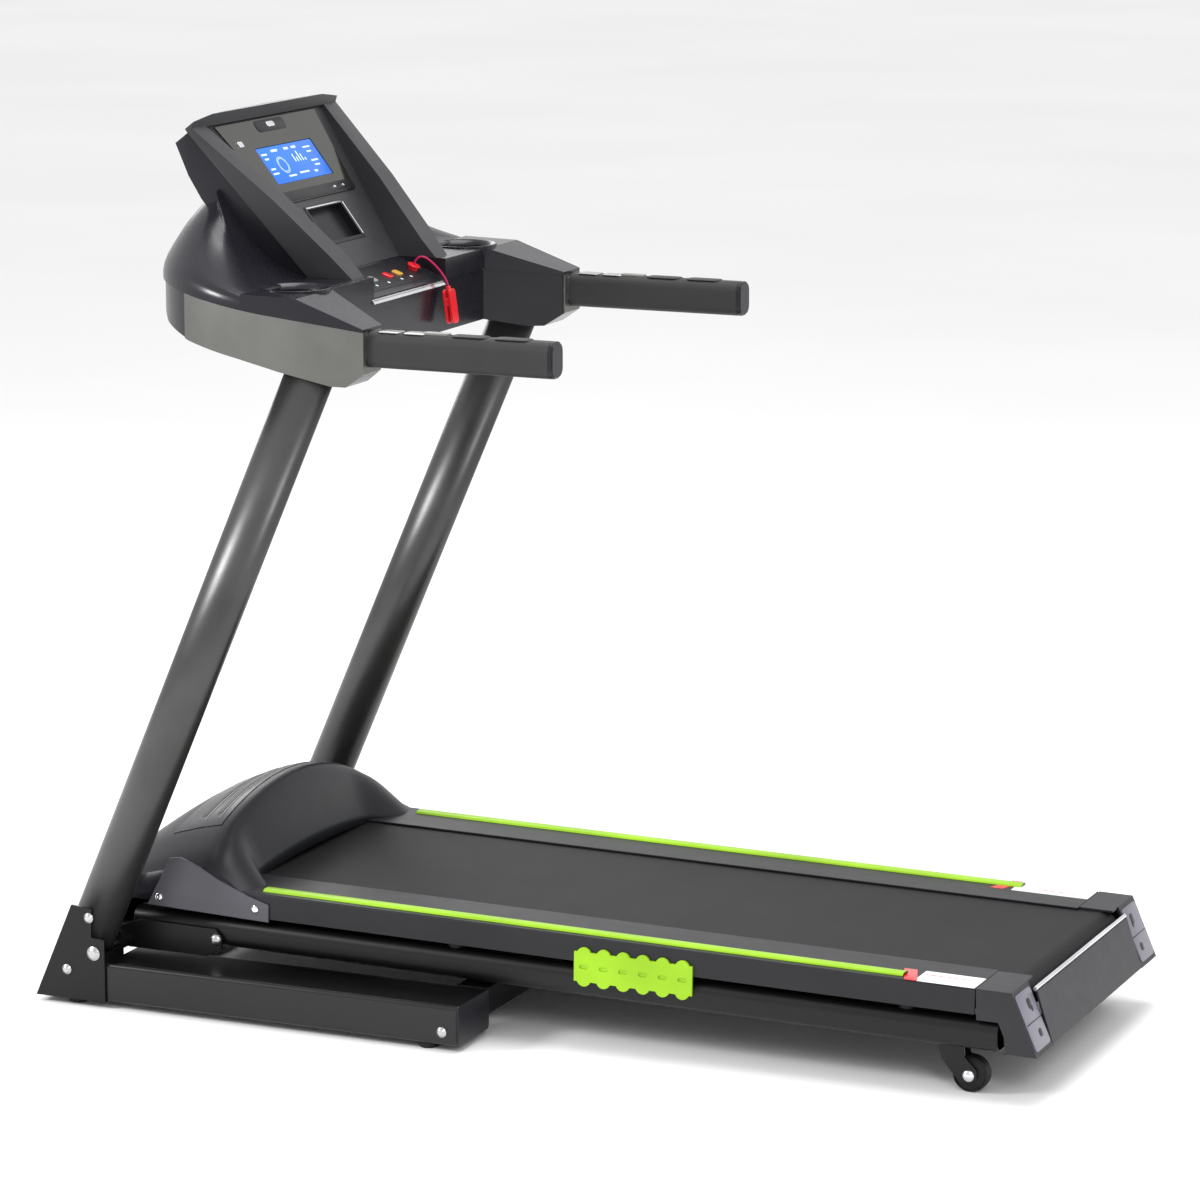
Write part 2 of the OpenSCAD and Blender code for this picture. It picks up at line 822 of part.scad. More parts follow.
// ---------- deck frame ----------

module deck_tubes() {
    color([0.11, 0.11, 0.11]) deck() both_sides()
        difference() {
            union() {
                translate([0, tube_y0 + side_tube_w / 2, side_tube_z0 + tube_h / 2])
                    along(15, tube_x1) ring(side_tube_w, tube_h, 16, 2.5);
                for (x = [front_roller_x, rear_roller_x]) shaft_block(x, 0);
            }
            for (x = [front_roller_x, rear_roller_x])
                axle(x, roller_z, shaft_r, 0, big);
        }
}

// Welded block that stands on a side tube and holds one end of a roller shaft
module shaft_block(x, grow) {
    z0 = side_tube_z0 + tube_h - 2;
    translate([x - shaft_block_l / 2 - grow, tube_y0 + 12 - grow, z0 - grow])
        cube([shaft_block_l + 2 * grow, shaft_block_t + 2 * grow, roller_z + shaft_r + 5 - z0 + 2 * grow]);
}

// Cross tubes under the board; the middle one carries the strut's upper lugs
module deck_cross_tubes() {
    lug_y = 9;
    color([0.11, 0.11, 0.11]) deck() {
        for (x = cross_x) difference() {
            translate([x, -tube_y0, cross_z0]) cube([30, 2 * tube_y0, cross_h]);
            translate([x + 2, -big / 2, cross_z0 + 2]) cube([26, big, cross_h - 4]);
        }
        b = strut_b();
        for (s = [-1, 1]) translate([0, s * (lug_y + bracket_t / 2), 0])
            across(-bracket_t / 2, bracket_t / 2)
                polygon([[cross_x[1], cross_z0 + 22], [b[0] - 10, b[1] + 9],
                    [b[0] - 10, b[1] - 9], [b[0] + 6, b[1] - 10], [cross_x[1], cross_z0]]);
        axle(b[0], b[1], strut_pin_r, -lug_y, lug_y);
    }
}

// Upper strut anchor in deck coordinates
function strut_b() =
    let (dx = strut_bx - fold_x, dz = strut_bz - fold_z)
    [dx * cos(deck_tilt) - dz * sin(deck_tilt), dx * sin(deck_tilt) + dz * cos(deck_tilt)];

// Arm plates that carry the deck on the fold axis, each with a bush and a bolt
module deck_arms() {
    color([0.09, 0.09, 0.09]) deck() both_sides() difference() {
        union() {
            across(deck_hw, deck_hw + arm_t)
                polygon([[-14, 8], [-8, 20], [30, 34], [156, 34], [168, 22], [166, 4],
                    [142, -9], [10, -11], [-10, -8]]);
            axle(0, 0, bush_r, deck_hw, deck_hw + arm_t);
            axle(0, 0, bush_r, deck_hw + arm_t - eps, bracket_y0 - body_gap);
            translate([arm_bolt[0], deck_hw + arm_t, arm_bolt[1]]) rotate([-90, 0, 0]) {
                cylinder(h = 2, r = 9);
                translate([0, 0, 2]) cylinder(h = 4, r1 = 9, r2 = 4, $fn = 48);
            }
        }
        axle(0, 0, pivot_r + run_gap, deck_hw - 5, base_hw);
    }
}

module deck_board() {
    color([0.35, 0.28, 0.2]) deck()
        translate([drive_clear_x, -deck_hw + 12, board_top - board_t])
            cube([rear_roller_x - roller_r - 18 - drive_clear_x, 2 * deck_hw - 24, board_t]);
}

module deck_cushions() {
    z0 = side_tube_z0 + tube_h;
    color([0.08, 0.08, 0.08]) deck() both_sides()
        for (i = [0:3]) translate([190 + i * (cap_x0 - 298) / 3, deck_hw - 26, z0])
            cylinder(h = board_top - board_t - z0, r = 13);
}

module belt_loop(r) {
    translate([front_roller_x, roller_z]) circle(r);
    translate([rear_roller_x, roller_z]) circle(r);
    translate([front_roller_x, roller_z - r]) square([rear_roller_x - front_roller_x, 2 * r]);
}

module running_belt() {
    color([0.17, 0.17, 0.18]) deck() across(-belt_w / 2, belt_w / 2) difference() {
        belt_loop(belt_in_r + belt_t);
        belt_loop(belt_in_r);
    }
}

module roller(x) {
    difference() {
        axle(x, roller_z, roller_r, -belt_w / 2 - 4, belt_w / 2 + 4);
        axle(x, roller_z, shaft_r + run_gap, -belt_w, belt_w);
    }
}

module front_roller() {
    color([0.7, 0.7, 0.7]) deck() difference() {
        union() {
            roller(front_roller_x);
            axle(front_roller_x, roller_z, roller_pulley_r, pulley_y - 9, pulley_y + 9);
            axle(front_roller_x, roller_z, roller_r - 4, pulley_y, -belt_w / 2);
        }
        axle(front_roller_x, roller_z, shaft_r + run_gap, -belt_w, belt_w);
    }
}

module rear_roller() {
    color([0.7, 0.7, 0.7]) deck() roller(rear_roller_x);
}

module roller_shafts() {
    color([0.6, 0.6, 0.6]) deck() for (x = [front_roller_x, rear_roller_x])
        axle(x, roller_z, shaft_r, -tube_y0 - 12 - shaft_block_t, tube_y0 + 12 + shaft_block_t);
}

module foot_rail() {
    along(drive_clear_x, cap_x0 - 1)
        polygon([[foot_rail_y0, rail_top], [deck_hw - 2, rail_top], [deck_hw, rail_top - 2],
            [deck_hw, foot_rail_z0], [deck_hw - rail_skin, foot_rail_z0],
            [deck_hw - rail_skin, rail_top - rail_skin],
            [foot_rail_y0, rail_top - rail_skin]]);
}

module foot_rails() {
    color([0.2, 0.2, 0.2]) deck() both_sides() foot_rail();
}

module green_strips() {
    color([0.66, 0.86, 0.15]) deck() both_sides()
        translate([0, strip_y, rail_top]) along(hood_tip_x, cap_x0 - 62)
            polygon([[-strip_w / 2, 0], [strip_w / 2, 0], [strip_w / 2 - 2, strip_h - 1],
                [strip_w / 2 - 5, strip_h], [-strip_w / 2 + 5, strip_h],
                [-strip_w / 2 + 2, strip_h - 1]]);
}

// Bright grip pads on the sides, with a scalloped edge and a row of dimples
module side_pads() {
    pitch = (side_pad_x1 - side_pad_x0) / side_pad_lobes;
    color([0.66, 0.86, 0.15]) deck() both_sides() difference() {
        across(deck_hw, deck_hw + 4) {
            translate([side_pad_x0, side_pad_z0])
                square([side_pad_x1 - side_pad_x0, side_pad_z1 - side_pad_z0]);
            for (i = [0:side_pad_lobes - 1], z = [side_pad_z0 + 4, side_pad_z1 - 4])
                translate([side_pad_x0 + (i + 0.5) * pitch, z]) circle(pitch * 0.36);
        }
        for (i = [0:side_pad_lobes - 1])
            translate([side_pad_x0 + (i + 0.5) * pitch, deck_hw + 4, (side_pad_z0 + side_pad_z1) / 2])
                rotate([90, 0, 0]) linear_extrude(4, center = true) rounded(14, 6, 2.9);
    }
}

module cap_outline(d) {
    polygon([[cap_x0 + d, rail_top - d], [cap_x0 + d + 2, 51 + d], [cap_x0 + 34 + d, 51 + d],
        [cap_x0 + 43 + d, 31], [cap_x0 + 45 + d, cap_z0 + d], [deck_end_x - d, cap_z0 + d],
        [deck_end_x - 40 - d, rail_top - d]]);
}

// Moulded rear corner caps with a hood over the belt edge
module end_caps() {
    color([0.3, 0.3, 0.32]) deck() both_sides() difference() {
        union() {
            across(cap_inner_y, deck_hw) cap_outline(0);
            translate([cap_x0, foot_rail_y0 + 6, rail_top - rail_skin])
                cube([deck_end_x - cap_x0 - 41, 40, rail_skin]);
        }
        across(cap_inner_y - 5, deck_hw - cap_wall) cap_outline(cap_wall);
        shaft_block(rear_roller_x, body_gap);
    }
}

module rear_cover() {
    color([0.12, 0.12, 0.13]) deck() across(-cap_inner_y + 0.5, cap_inner_y - 0.5)
        polygon([[deck_end_x - 30, rail_top - 14], [deck_end_x - 26, rail_top - 14],
            [deck_end_x, cap_z0], [deck_end_x - 60, cap_z0], [deck_end_x - 60, cap_z0 + 3],
            [deck_end_x - 4, cap_z0 + 3]]);
}

// ---------- drive ----------

module motor_tray() {
    color([0.13, 0.13, 0.13]) deck() {
        difference() {
            translate([tray_x0, -tube_y0, tray_z])
                cube([front_roller_x + 50 - tray_x0, 2 * tube_y0, 2]);
            for (x = [motor_x - 22, motor_x + 22], y = [-60, 60])
                translate([x, y, 0]) cylinder(h = 20, r = 4.2);
        }
        translate([tray_x0, -tube_y0, tray_z]) difference() {
            cube([2, 2 * tube_y0, 52]);
            translate([-1, tube_y0 + socket_y - 14, socket_z - tray_z - 12]) cube([4, 28, 24]);
            translate([-1, tube_y0 + switch_y - 11, socket_z - tray_z - 10]) cube([4, 22, 20]);
        }
    }
}

module inlet_socket() {
    color([0.05, 0.05, 0.05]) deck() translate([tray_x0, socket_y, socket_z]) difference() {
        union() {
            translate([-3, -17, -15]) cube([3, 34, 30]);
            translate([-eps, -13.5, -11.5]) cube([socket_depth, 27, 23]);
        }
        translate([-4, -11.5, -8.5]) cube([20, 23, 17]);
    }
}

// Rocker on a hidden pivot in the switch opening
module power_switch() {
    color([0.75, 0.08, 0.08]) deck()
        translate([hood_x0 + 5, switch_y, socket_z]) intersection() {
            cube([16, 20, 12], center = true);
            rotate([90, 0, 0]) cylinder(h = 30, r = 7.6, center = true);
        }
}

module motor_body() {
    color([0.2, 0.2, 0.2]) deck() difference() {
        union() {
            axle(motor_x, motor_z, motor_r, -motor_len / 2, motor_len / 2);
            for (y = [-60, 60]) translate([motor_x - 30, y - 12, tray_z + 2])
                cube([60, 24, motor_z - motor_r * 0.6 - tray_z]);
            for (x = [motor_x - 22, motor_x + 22], y = [-60, 60])
                translate([x, y, tray_z - 3]) cylinder(h = 8, r = 4);
        }
        axle(motor_x, motor_z, shaft_r + run_gap, -motor_len, motor_len);
    }
}

module motor_rotor() {
    color([0.6, 0.6, 0.62]) deck() {
        axle(motor_x, motor_z, shaft_r, pulley_y - 12, motor_len / 2 + 8);
        axle(motor_x, motor_z, motor_pulley_r, pulley_y - 9, pulley_y + 9);
        axle(motor_x, motor_z, 38, -150, -130);
    }
}

// Points of a belt loop round the motor pulley and the roller pulley, g outside both
function belt_points(g) =
    let (dx = front_roller_x - motor_x, dz = roller_z - motor_z, d = norm([dx, dz]),
        dir = atan2(dz, dx), lean = asin((roller_pulley_r - motor_pulley_r) / d), steps = 16)
    concat(
        [for (i = [0:steps]) let (a = dir + 90 + lean + i * (180 - 2 * lean) / steps)
            [motor_x, motor_z] + (motor_pulley_r + g) * [cos(a), sin(a)]],
        [for (i = [0:steps]) let (a = dir - 90 - lean + i * (180 + 2 * lean) / steps)
            [front_roller_x, roller_z] + (roller_pulley_r + g) * [cos(a), sin(a)]]);

module drive_belt() {
    color([0.06, 0.06, 0.06]) deck() across(pulley_y - 7, pulley_y + 7) difference() {
        polygon(belt_points(body_gap + drive_t));
        polygon(belt_points(body_gap));
    }
}

module controller_box() {
    color([0.5, 0.5, 0.5]) deck() difference() {
        translate([controller_x0, 90, tray_z + 2]) cube([controller_x1 - controller_x0, 130, 46]);
        for (x = [controller_x0 + 6:14:controller_x1 - 8])
            translate([x, 85, tray_z + 40]) cube([6, 140, 20]);
    }
}

// ---------- motor hood ----------

// Side outline of the hood, drawn in by d
function hood_line(d) = [[hood_x0 + d, foot_rail_z0 + 6], [hood_x0 + d, 88 - d],
    [hood_x0 + 12 + d / 2, 118 - d], [-14, 148 - d], [30, 178 - d], [80, 202 - d],
    [hood_ridge_x - 12, hood_ridge_z - d], [hood_ridge_x + 4, hood_ridge_z - 1 - d],
    [hood_ridge_x + 14 - d / 2, hood_ridge_z - 12 - d], [hood_belt_x - d, rail_top + 2]];

module hood_solid(d) {
    crown_r = 520;
    intersection() {
        across(-deck_hw + d, deck_hw - d) polygon(concat(hood_line(d),
            [[hood_tip_x - d, rail_top + 2], [hood_tip_x - d, foot_rail_z0 + 6]]));
        along(hood_x0, hood_tip_x) intersection() {
            translate([0, hood_ridge_z - crown_r]) circle(crown_r - d, $fn = 180);
            translate([-deck_hw, 0]) square([2 * deck_hw, 400]);
        }
        translate([0, 0, -50]) linear_extrude(500) hood_plan(d);
    }
}

// Plan outline of the hood with two tips reaching over the foot rails
module hood_plan(d) {
    polygon([[hood_x0 + d, -200], [hood_x0 + 30 + d, -deck_hw + d], [hood_tip_x - d, -deck_hw + d],
        [hood_tip_x - d, -236 - d / 2], [hood_belt_x - d, -foot_rail_y0], [hood_belt_x - d, foot_rail_y0],
        [hood_tip_x - d, 236 + d / 2], [hood_tip_x - d, deck_hw - d], [hood_x0 + 30 + d, deck_hw - d],
        [hood_x0 + d, 200]]);
}

module hood_shell() {
    color([0.2, 0.2, 0.22]) deck() difference() {
        hood_solid(0);
        translate([0, 0, -6]) hood_solid(hood_wall);
        along(drive_clear_x - 1, hood_tip_x + 5)
            translate([-big / 2, -100]) square([big, 100 + rail_top + 0.3]);
    }
}

// Silver skirts on the sides of the hood
module hood_side_panels() {
    color([0.55, 0.55, 0.56]) deck() both_sides()
        across(deck_hw, deck_hw + 3)
            polygon([[40, foot_rail_z0], [78, 134], [96, 137], [128, 126], [160, 110], [206, 92],
                [244, 81], [244, foot_rail_z0 - 4]]);
}

// ---------- rear wheels and strut ----------

// The wheels stand on the floor, so they are placed in machine coordinates
module wheel_forks() {
    top = fold_z + side_tube_z0 * cos(deck_tilt) - (wheel_x - fold_x - 8) * sin(deck_tilt);
    color([0.07, 0.07, 0.07]) machine() both_sides() {
        for (s = [-1, 1]) translate([0, wheel_y + s * (wheel_w / 2 + 3), 0])
            across(-2, 2) {
                polygon([[wheel_x - 46, top], [wheel_x - 40, 46], [wheel_x - 14, 16],
                    [wheel_x + 2, 14], [wheel_x + 12, 22], [wheel_x + 12, 34],
                    [wheel_x - 6, 52], [wheel_x - 8, top]]);
            }
        translate([wheel_x - 46, wheel_y - wheel_w / 2 - 5, top - 4])
            cube([38, wheel_w + 10, 3.2]);
        axle(wheel_x, wheel_r, 4, wheel_y - wheel_w / 2 - 6, wheel_y + wheel_w / 2 + 6);
    }
}

module rear_wheel() {
    difference() {
        axle(wheel_x, wheel_r, wheel_r, wheel_y - wheel_w / 2, wheel_y + wheel_w / 2);
        axle(wheel_x, wheel_r, 4 + run_gap, wheel_y - wheel_w, wheel_y + wheel_w);
        for (s = [-1, 1])
            translate([wheel_x, wheel_y + s * wheel_w / 2, wheel_r]) rotate([90, 0, 0])
                difference() {
                    cylinder(h = 6, r = wheel_r - 7, center = true);
                    cylinder(h = 8, r = 10, center = true);
                }
    }
}

module rear_wheel_right() {
    color([0.05, 0.05, 0.05]) machine() rear_wheel();
}

module rear_wheel_left() {
    color([0.05, 0.05, 0.05]) machine() mirror([0, 1, 0]) rear_wheel();
}

// Places strut coordinates: X along the strut from its lower eye
module strut() {
    machine() translate([strut_ax, 0, strut_az]) rotate([0, -strut_slope, 0]) children();
}

module strut_cylinder() {
    body_len = strut_len - 110;
    color([0.1, 0.1, 0.1]) strut() difference() {
        union() {
            translate([14, 0, 0]) rotate([0, 90, 0]) cylinder(h = body_len, r = strut_r);
            axle(0, 0, 12, -9, 9);
            translate([0, -5, -7]) cube([20, 10, 14]);
        }
        axle(0, 0, strut_pin_r + run_gap, -20, 20);
        translate([40, 0, 0]) rotate([0, 90, 0]) cylinder(h = body_len, r = rod_r + run_gap);
    }
}

// The upper eye is a wide loop, so the rod can follow the fold with a fixed ratio
module strut_rod() {
    color([0.72, 0.72, 0.72]) strut() difference() {
        union() {
            translate([120, 0, 0]) rotate([0, 90, 0]) cylinder(h = strut_len - 134, r = rod_r);
            axle(strut_len, 0, strut_eye_r, -6, 6);
        }
        axle(strut_len, 0, strut_eye_hole, -20, 20);
    }
}

// ---------- assembly ----------

base_rail_left();
base_rail_right();
base_crossmembers();
base_feet();
foot_brackets();
frame_bolts();
pivot_bolts();
upright_left();
upright_right();
horn_crossbeam();
handlebar_tubes();
handlebar_grips();
handlebar_end_plugs();
horn_tray();
horn_top();
side_cover_left();
side_cover_right();
console_back();
console_head();
display_lens();
display_module();
device_rest();
keypad_panel();
key_start();
key_stop();
key_faster();
key_slower();
handle_button_left();
handle_button_right();
safety_key();
safety_tether();
safety_clip();
deck_tubes();
deck_cross_tubes();
deck_arms();
deck_board();
deck_cushions();
running_belt();
front_roller();
rear_roller();
roller_shafts();
motor_body();
motor_rotor();
drive_belt();
motor_tray();
controller_box();
hood_shell();
hood_side_panels();
foot_rails();
green_strips();
side_pads();
end_caps();
rear_cover();
wheel_forks();
rear_wheel_left();
rear_wheel_right();
strut_cylinder();
strut_rod();
inlet_socket();
power_switch();
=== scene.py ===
import json
import math

import bmesh
import bpy
from mathutils import Matrix, Vector


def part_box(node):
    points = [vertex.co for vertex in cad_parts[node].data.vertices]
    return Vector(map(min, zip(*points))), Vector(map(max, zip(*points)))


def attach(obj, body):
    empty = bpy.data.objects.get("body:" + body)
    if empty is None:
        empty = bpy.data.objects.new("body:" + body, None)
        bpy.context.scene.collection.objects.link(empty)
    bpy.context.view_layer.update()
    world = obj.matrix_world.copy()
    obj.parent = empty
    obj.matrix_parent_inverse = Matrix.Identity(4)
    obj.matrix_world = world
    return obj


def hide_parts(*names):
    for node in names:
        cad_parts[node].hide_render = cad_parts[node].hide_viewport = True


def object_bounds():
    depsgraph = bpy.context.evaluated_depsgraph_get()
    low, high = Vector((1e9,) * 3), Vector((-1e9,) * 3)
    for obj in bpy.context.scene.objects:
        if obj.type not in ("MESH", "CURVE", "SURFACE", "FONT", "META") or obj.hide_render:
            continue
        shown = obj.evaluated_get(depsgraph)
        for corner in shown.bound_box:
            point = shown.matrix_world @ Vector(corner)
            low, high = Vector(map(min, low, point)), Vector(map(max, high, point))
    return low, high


bl_info = {
    "name": "Folding Treadmill",
    "version": (1, 0, 0),
    "blender": (4, 5, 0),
    "location": "View3D > Sidebar > Treadmill",
    "description": "Builds the finished surfaces of a folding treadmill around its CAD frame",
    "category": "Object",
}

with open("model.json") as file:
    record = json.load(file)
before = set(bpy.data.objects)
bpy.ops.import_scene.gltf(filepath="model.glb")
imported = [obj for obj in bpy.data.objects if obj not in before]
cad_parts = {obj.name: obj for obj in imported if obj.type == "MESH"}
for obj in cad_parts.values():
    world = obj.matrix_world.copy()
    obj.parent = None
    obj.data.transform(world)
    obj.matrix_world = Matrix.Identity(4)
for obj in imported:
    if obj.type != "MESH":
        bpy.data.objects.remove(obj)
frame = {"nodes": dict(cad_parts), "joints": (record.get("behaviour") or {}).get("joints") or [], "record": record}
CAD_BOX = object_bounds()
JOINTS = {joint["name"]: joint for joint in frame["joints"]}
MM = 0.001

# Tilts of the sloping parts, in degrees
FACE_TILT = 37.5
SHELF_TILT = 20.0
UPRIGHT_LEAN = 23.5

# The near and far sides of the machine, as factors of Y
SIDES = {"left": -1, "right": 1}

# Turns the XY plane of a place to stand across the machine and face its rear
UPRIGHT_TURN = Matrix(((0, 0, 1, 0), (1, 0, 0, 0), (0, 1, 0, 0), (0, 0, 0, 1)))


# ---------- places ----------

def machine(x, y, z):
    """A point in millimetres from the tips of the base, in the shared frame."""
    return Vector((CAD_BOX[0].x + x * MM, y * MM, z * MM))


def deck_matrix():
    """Deck coordinates: from the fold axis, sloping with the two rollers."""
    front = Vector(JOINTS["front_roller_spin"]["pos_m"])
    rear = Vector(JOINTS["rear_roller_spin"]["pos_m"])
    slope = math.atan2(front.z - rear.z, rear.x - front.x)
    axis = Vector(JOINTS["deck_fold"]["pos_m"])
    return Matrix.Translation(axis) @ Matrix.Rotation(slope, 4, "Y")


def face_matrix():
    """Console face coordinates: X out of the face, Z up it."""
    return Matrix.Translation(machine(370, 0, 1083)) @ Matrix.Rotation(-math.radians(FACE_TILT), 4, "Y")


def shelf_matrix():
    """Keypad shelf coordinates: Z out of the shelf."""
    return Matrix.Translation(machine(407, 0, 1068)) @ Matrix.Rotation(math.radians(SHELF_TILT), 4, "Y")


DECK = deck_matrix()
FACE = face_matrix()
SHELF = shelf_matrix()
BODY_OF = {node: body for body, nodes in frame["record"]["behaviour"]["bodies"].items() for node in nodes}


# ---------- settings ----------

def colour(name, text, value):
    return bpy.props.FloatVectorProperty(
        name=name, description=text, subtype="COLOR", size=3, min=0.0, max=1.0, default=value)


def size(name, text, value):
    return bpy.props.FloatProperty(name=name, description=text, unit="LENGTH", default=value, min=0.0)


class TreadmillColours(bpy.types.PropertyGroup):
    frame_black: colour("Frame", "Powder coat of the base and deck frame", (0.0035, 0.0035, 0.004))
    upright_grey: colour("Uprights", "Satin paint of the uprights", (0.075, 0.076, 0.075))
    horn_dark: colour("Horn", "Dark satin plastic of the horn and hood", (0.0085, 0.0085, 0.0125))
    cap_grey: colour("End caps", "Grey plastic of the rear end caps", (0.018, 0.018, 0.021))
    rail_dark: colour("Foot rails", "Dark plastic of the foot rails", (0.011, 0.011, 0.0135))
    cover_silver: colour("Side covers", "Metallic silver grey of the side covers", (0.155, 0.155, 0.146))
    head_grey: colour("Console", "Grey plastic of the console head", (0.030, 0.030, 0.033))
    panel_silver: colour("Hood lines", "Light silver of the lines across the hood", (0.20, 0.20, 0.205))
    arm_plate: colour("Side panels", "Dark silver of the hood side panels", (0.085, 0.083, 0.095))
    plate_silver: colour("Cap plates", "Light plates on the end caps' rear faces", (0.20, 0.195, 0.235))
    lime: colour("Strips", "Lime plastic of the strips and side pads", (0.27, 0.50, 0.010))
    red: colour("Red parts", "Red plastic of the safety key and stop key", (0.62, 0.012, 0.02))
    belt: colour("Belt", "Upper face of the running belt", (0.0045, 0.0045, 0.0058))


class TreadmillSizes(bpy.types.PropertyGroup):
    edge: size("Edge radius", "Radius on the edges of moulded covers", 0.0025)
    fine_edge: size("Fine edge radius", "Radius on the edges of small and metal parts", 0.0008)


def settings():
    scene = bpy.context.scene
    return scene.treadmill_colours, scene.treadmill_sizes


# ---------- meshes ----------

def finish_piece(name, bm, material, body, smooth_angle=32, node=None):
    """Turns a bmesh in the shared frame into a piece that rides on its body."""
    bmesh.ops.remove_doubles(bm, verts=bm.verts, dist=1e-6)
    bmesh.ops.recalc_face_normals(bm, faces=bm.faces)
    mesh = bpy.data.meshes.new(name)
    bm.to_mesh(mesh)
    bm.free()
    mesh.shade_smooth()
    mesh.set_sharp_from_angle(angle=math.radians(smooth_angle))
    mesh.materials.append(material)
    piece = bpy.data.objects.new(name, mesh)
    bpy.context.scene.collection.objects.link(piece)
    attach(piece, body)
    if node:
        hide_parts(node)
    return piece


def fresh_verts(made):
    return [part for part in made["geom"] if isinstance(part, bmesh.types.BMVert)]


def chain(bm, points):
    """A line of edges through a few points."""
    verts = [bm.verts.new(point) for point in points]
    return [bm.edges.new(pair) for pair in zip(verts, verts[1:])]


def outline_face(bm, points):
    return bmesh.ops.contextual_create(bm, geom=[bm.verts.new(point) for point in points])["faces"][0]


def loft(bm, edges, rows):
    """Extrudes edges row by row; each row is a matrix from the place where the edges started."""
    last = Matrix.Identity(4)
    for row in rows:
        made = bmesh.ops.extrude_edge_only(bm, edges=edges)
        verts = fresh_verts(made)
        new = set(verts)
        edges = [part for part in made["geom"]
                 if isinstance(part, bmesh.types.BMEdge) and set(part.verts) <= new]
        bmesh.ops.transform(bm, matrix=row @ last.inverted(), verts=verts)
        last = row
    return edges


def affine(ax=1.0, bx=0.0, ay=1.0, by=0.0, az=1.0, bz=0.0, zx=0.0):
    """Scale and shift along each axis, with a slope of Z along X."""
    return Matrix(((ax, 0, 0, bx), (0, ay, 0, by), (zx, 0, az, bz), (0, 0, 0, 1)))


def slab(bm, width, height, thick, radius, edge, place=Matrix.Identity(4), segments=5):
    """A plate on the XY plane of its place, in millimetres, with round corners and a soft upper edge."""
    made = bmesh.ops.create_cube(bm, size=1.0)
    bmesh.ops.scale(bm, vec=(width * MM, height * MM, thick * MM), verts=made["verts"])
    bmesh.ops.translate(bm, vec=(0, 0, thick * MM / 2), verts=made["verts"])
    sides = {face for vert in made["verts"] for face in vert.link_faces}
    corners = [line for line in {line for face in sides for line in face.edges}
               if abs(line.verts[0].co.z - line.verts[1].co.z) > thick * MM / 2]
    made = bmesh.ops.bevel(bm, geom=corners, offset=radius * MM, segments=segments, profile=0.5,
                           affect="EDGES", material=-1)
    faces = set(made["faces"]) | {face for face in sides if face.is_valid}
    verts = {vert for face in faces for vert in face.verts}
    top = [line for line in {line for vert in verts for line in vert.link_edges}
           if all(abs(vert.co.z - thick * MM) < 1e-7 for vert in line.verts)]
    made = bmesh.ops.bevel(bm, geom=top, offset=edge * MM, segments=3, profile=0.5, affect="EDGES",
                           material=-1)
    verts |= {vert for face in made["faces"] for vert in face.verts}
    bmesh.ops.transform(bm, matrix=place, verts=[vert for vert in verts if vert.is_valid])


def turned(bm, place, profile, steps=40):
    """Spins a profile of (radius, height) points, in millimetres, round the Z axis of its place."""
    edges = chain(bm, [place @ Vector((r * MM, 0, h * MM)) for r, h in profile])
    verts = list({vert for edge in edges for vert in edge.verts})
    bmesh.ops.spin(bm, geom=verts + edges, cent=place.translation,
                   axis=place.to_3x3() @ Vector((0, 0, 1)), angle=math.tau, steps=steps, use_merge=True)


def pulled(bm, points, place, vector):
    """An outline of a few points, in millimetres, extruded along a vector into a solid."""
    face = outline_face(bm, [place @ (Vector(point) * MM) for point in points])
    made = bmesh.ops.extrude_face_region(bm, geom=[face])
    bmesh.ops.translate(bm, vec=place.to_3x3() @ (Vector(vector) * MM), verts=fresh_verts(made))


def on_face(n, y, up):
    """Place on the console face, in millimetres: Z out of the face, Y up it and X across it."""
    return FACE @ Matrix.Translation(Vector((n, y, up)) * MM) @ UPRIGHT_TURN


def on_shelf(x, y, z=0.0):
    """Place on the keypad shelf, in millimetres."""
    return SHELF @ Matrix.Translation(Vector((x, y, z)) * MM)


def side_turn(side):
    """Turns the Z axis of a place out to one side of the machine."""
    return Matrix.Rotation(math.radians(-90 * side), 4, "X")


def on_side(x, y, z, side=-1):
    """Place on a wall that faces the near or the far side, in deck millimetres."""
    return DECK @ Matrix.Translation(Vector((x, y, z)) * MM) @ side_turn(side)


def keep_between(bm, place, axis, low, high):
    """Cuts away what lies outside two planes along one axis of a place, in millimetres."""
    direction = place.to_3x3() @ Vector(axis)
    for level, sign in ((low, -1), (high, 1)):
        bmesh.ops.bisect_plane(bm, geom=bm.verts[:] + bm.edges[:] + bm.faces[:], dist=1e-7,
                               plane_co=place @ (Vector(axis) * level * MM), plane_no=direction * sign,
                               clear_outer=True)


def add_wall(piece, thickness, offset=-1.0):
    wall = piece.modifiers.new("wall", "SOLIDIFY")
    wall.thickness = thickness
    wall.offset = offset
    wall.use_quality_normals = True
    return wall


def cut_away(piece, cutter):
    """Cuts one closed mesh out of a piece and keeps the result as its mesh."""
    cut = piece.modifiers.new("cut", "BOOLEAN")
    cut.operation = "DIFFERENCE"
    cut.solver = "EXACT"
    cut.object = cutter
    bpy.context.view_layer.update()
    seen = piece.evaluated_get(bpy.context.evaluated_depsgraph_get())
    result = bpy.data.meshes.new_from_object(seen)
    piece.modifiers.clear()
    piece.data = result
    bpy.data.objects.remove(cutter)


def add_bevel(piece, width, segments=3, angle=30):
    bevel = piece.modifiers.new("edges", "BEVEL")
    bevel.width = width
    bevel.segments = segments
    bevel.limit_method = "ANGLE"
    bevel.angle_limit = math.radians(angle)
    bevel.harden_normals = True
    bevel.use_clamp_overlap = True
    return bevel


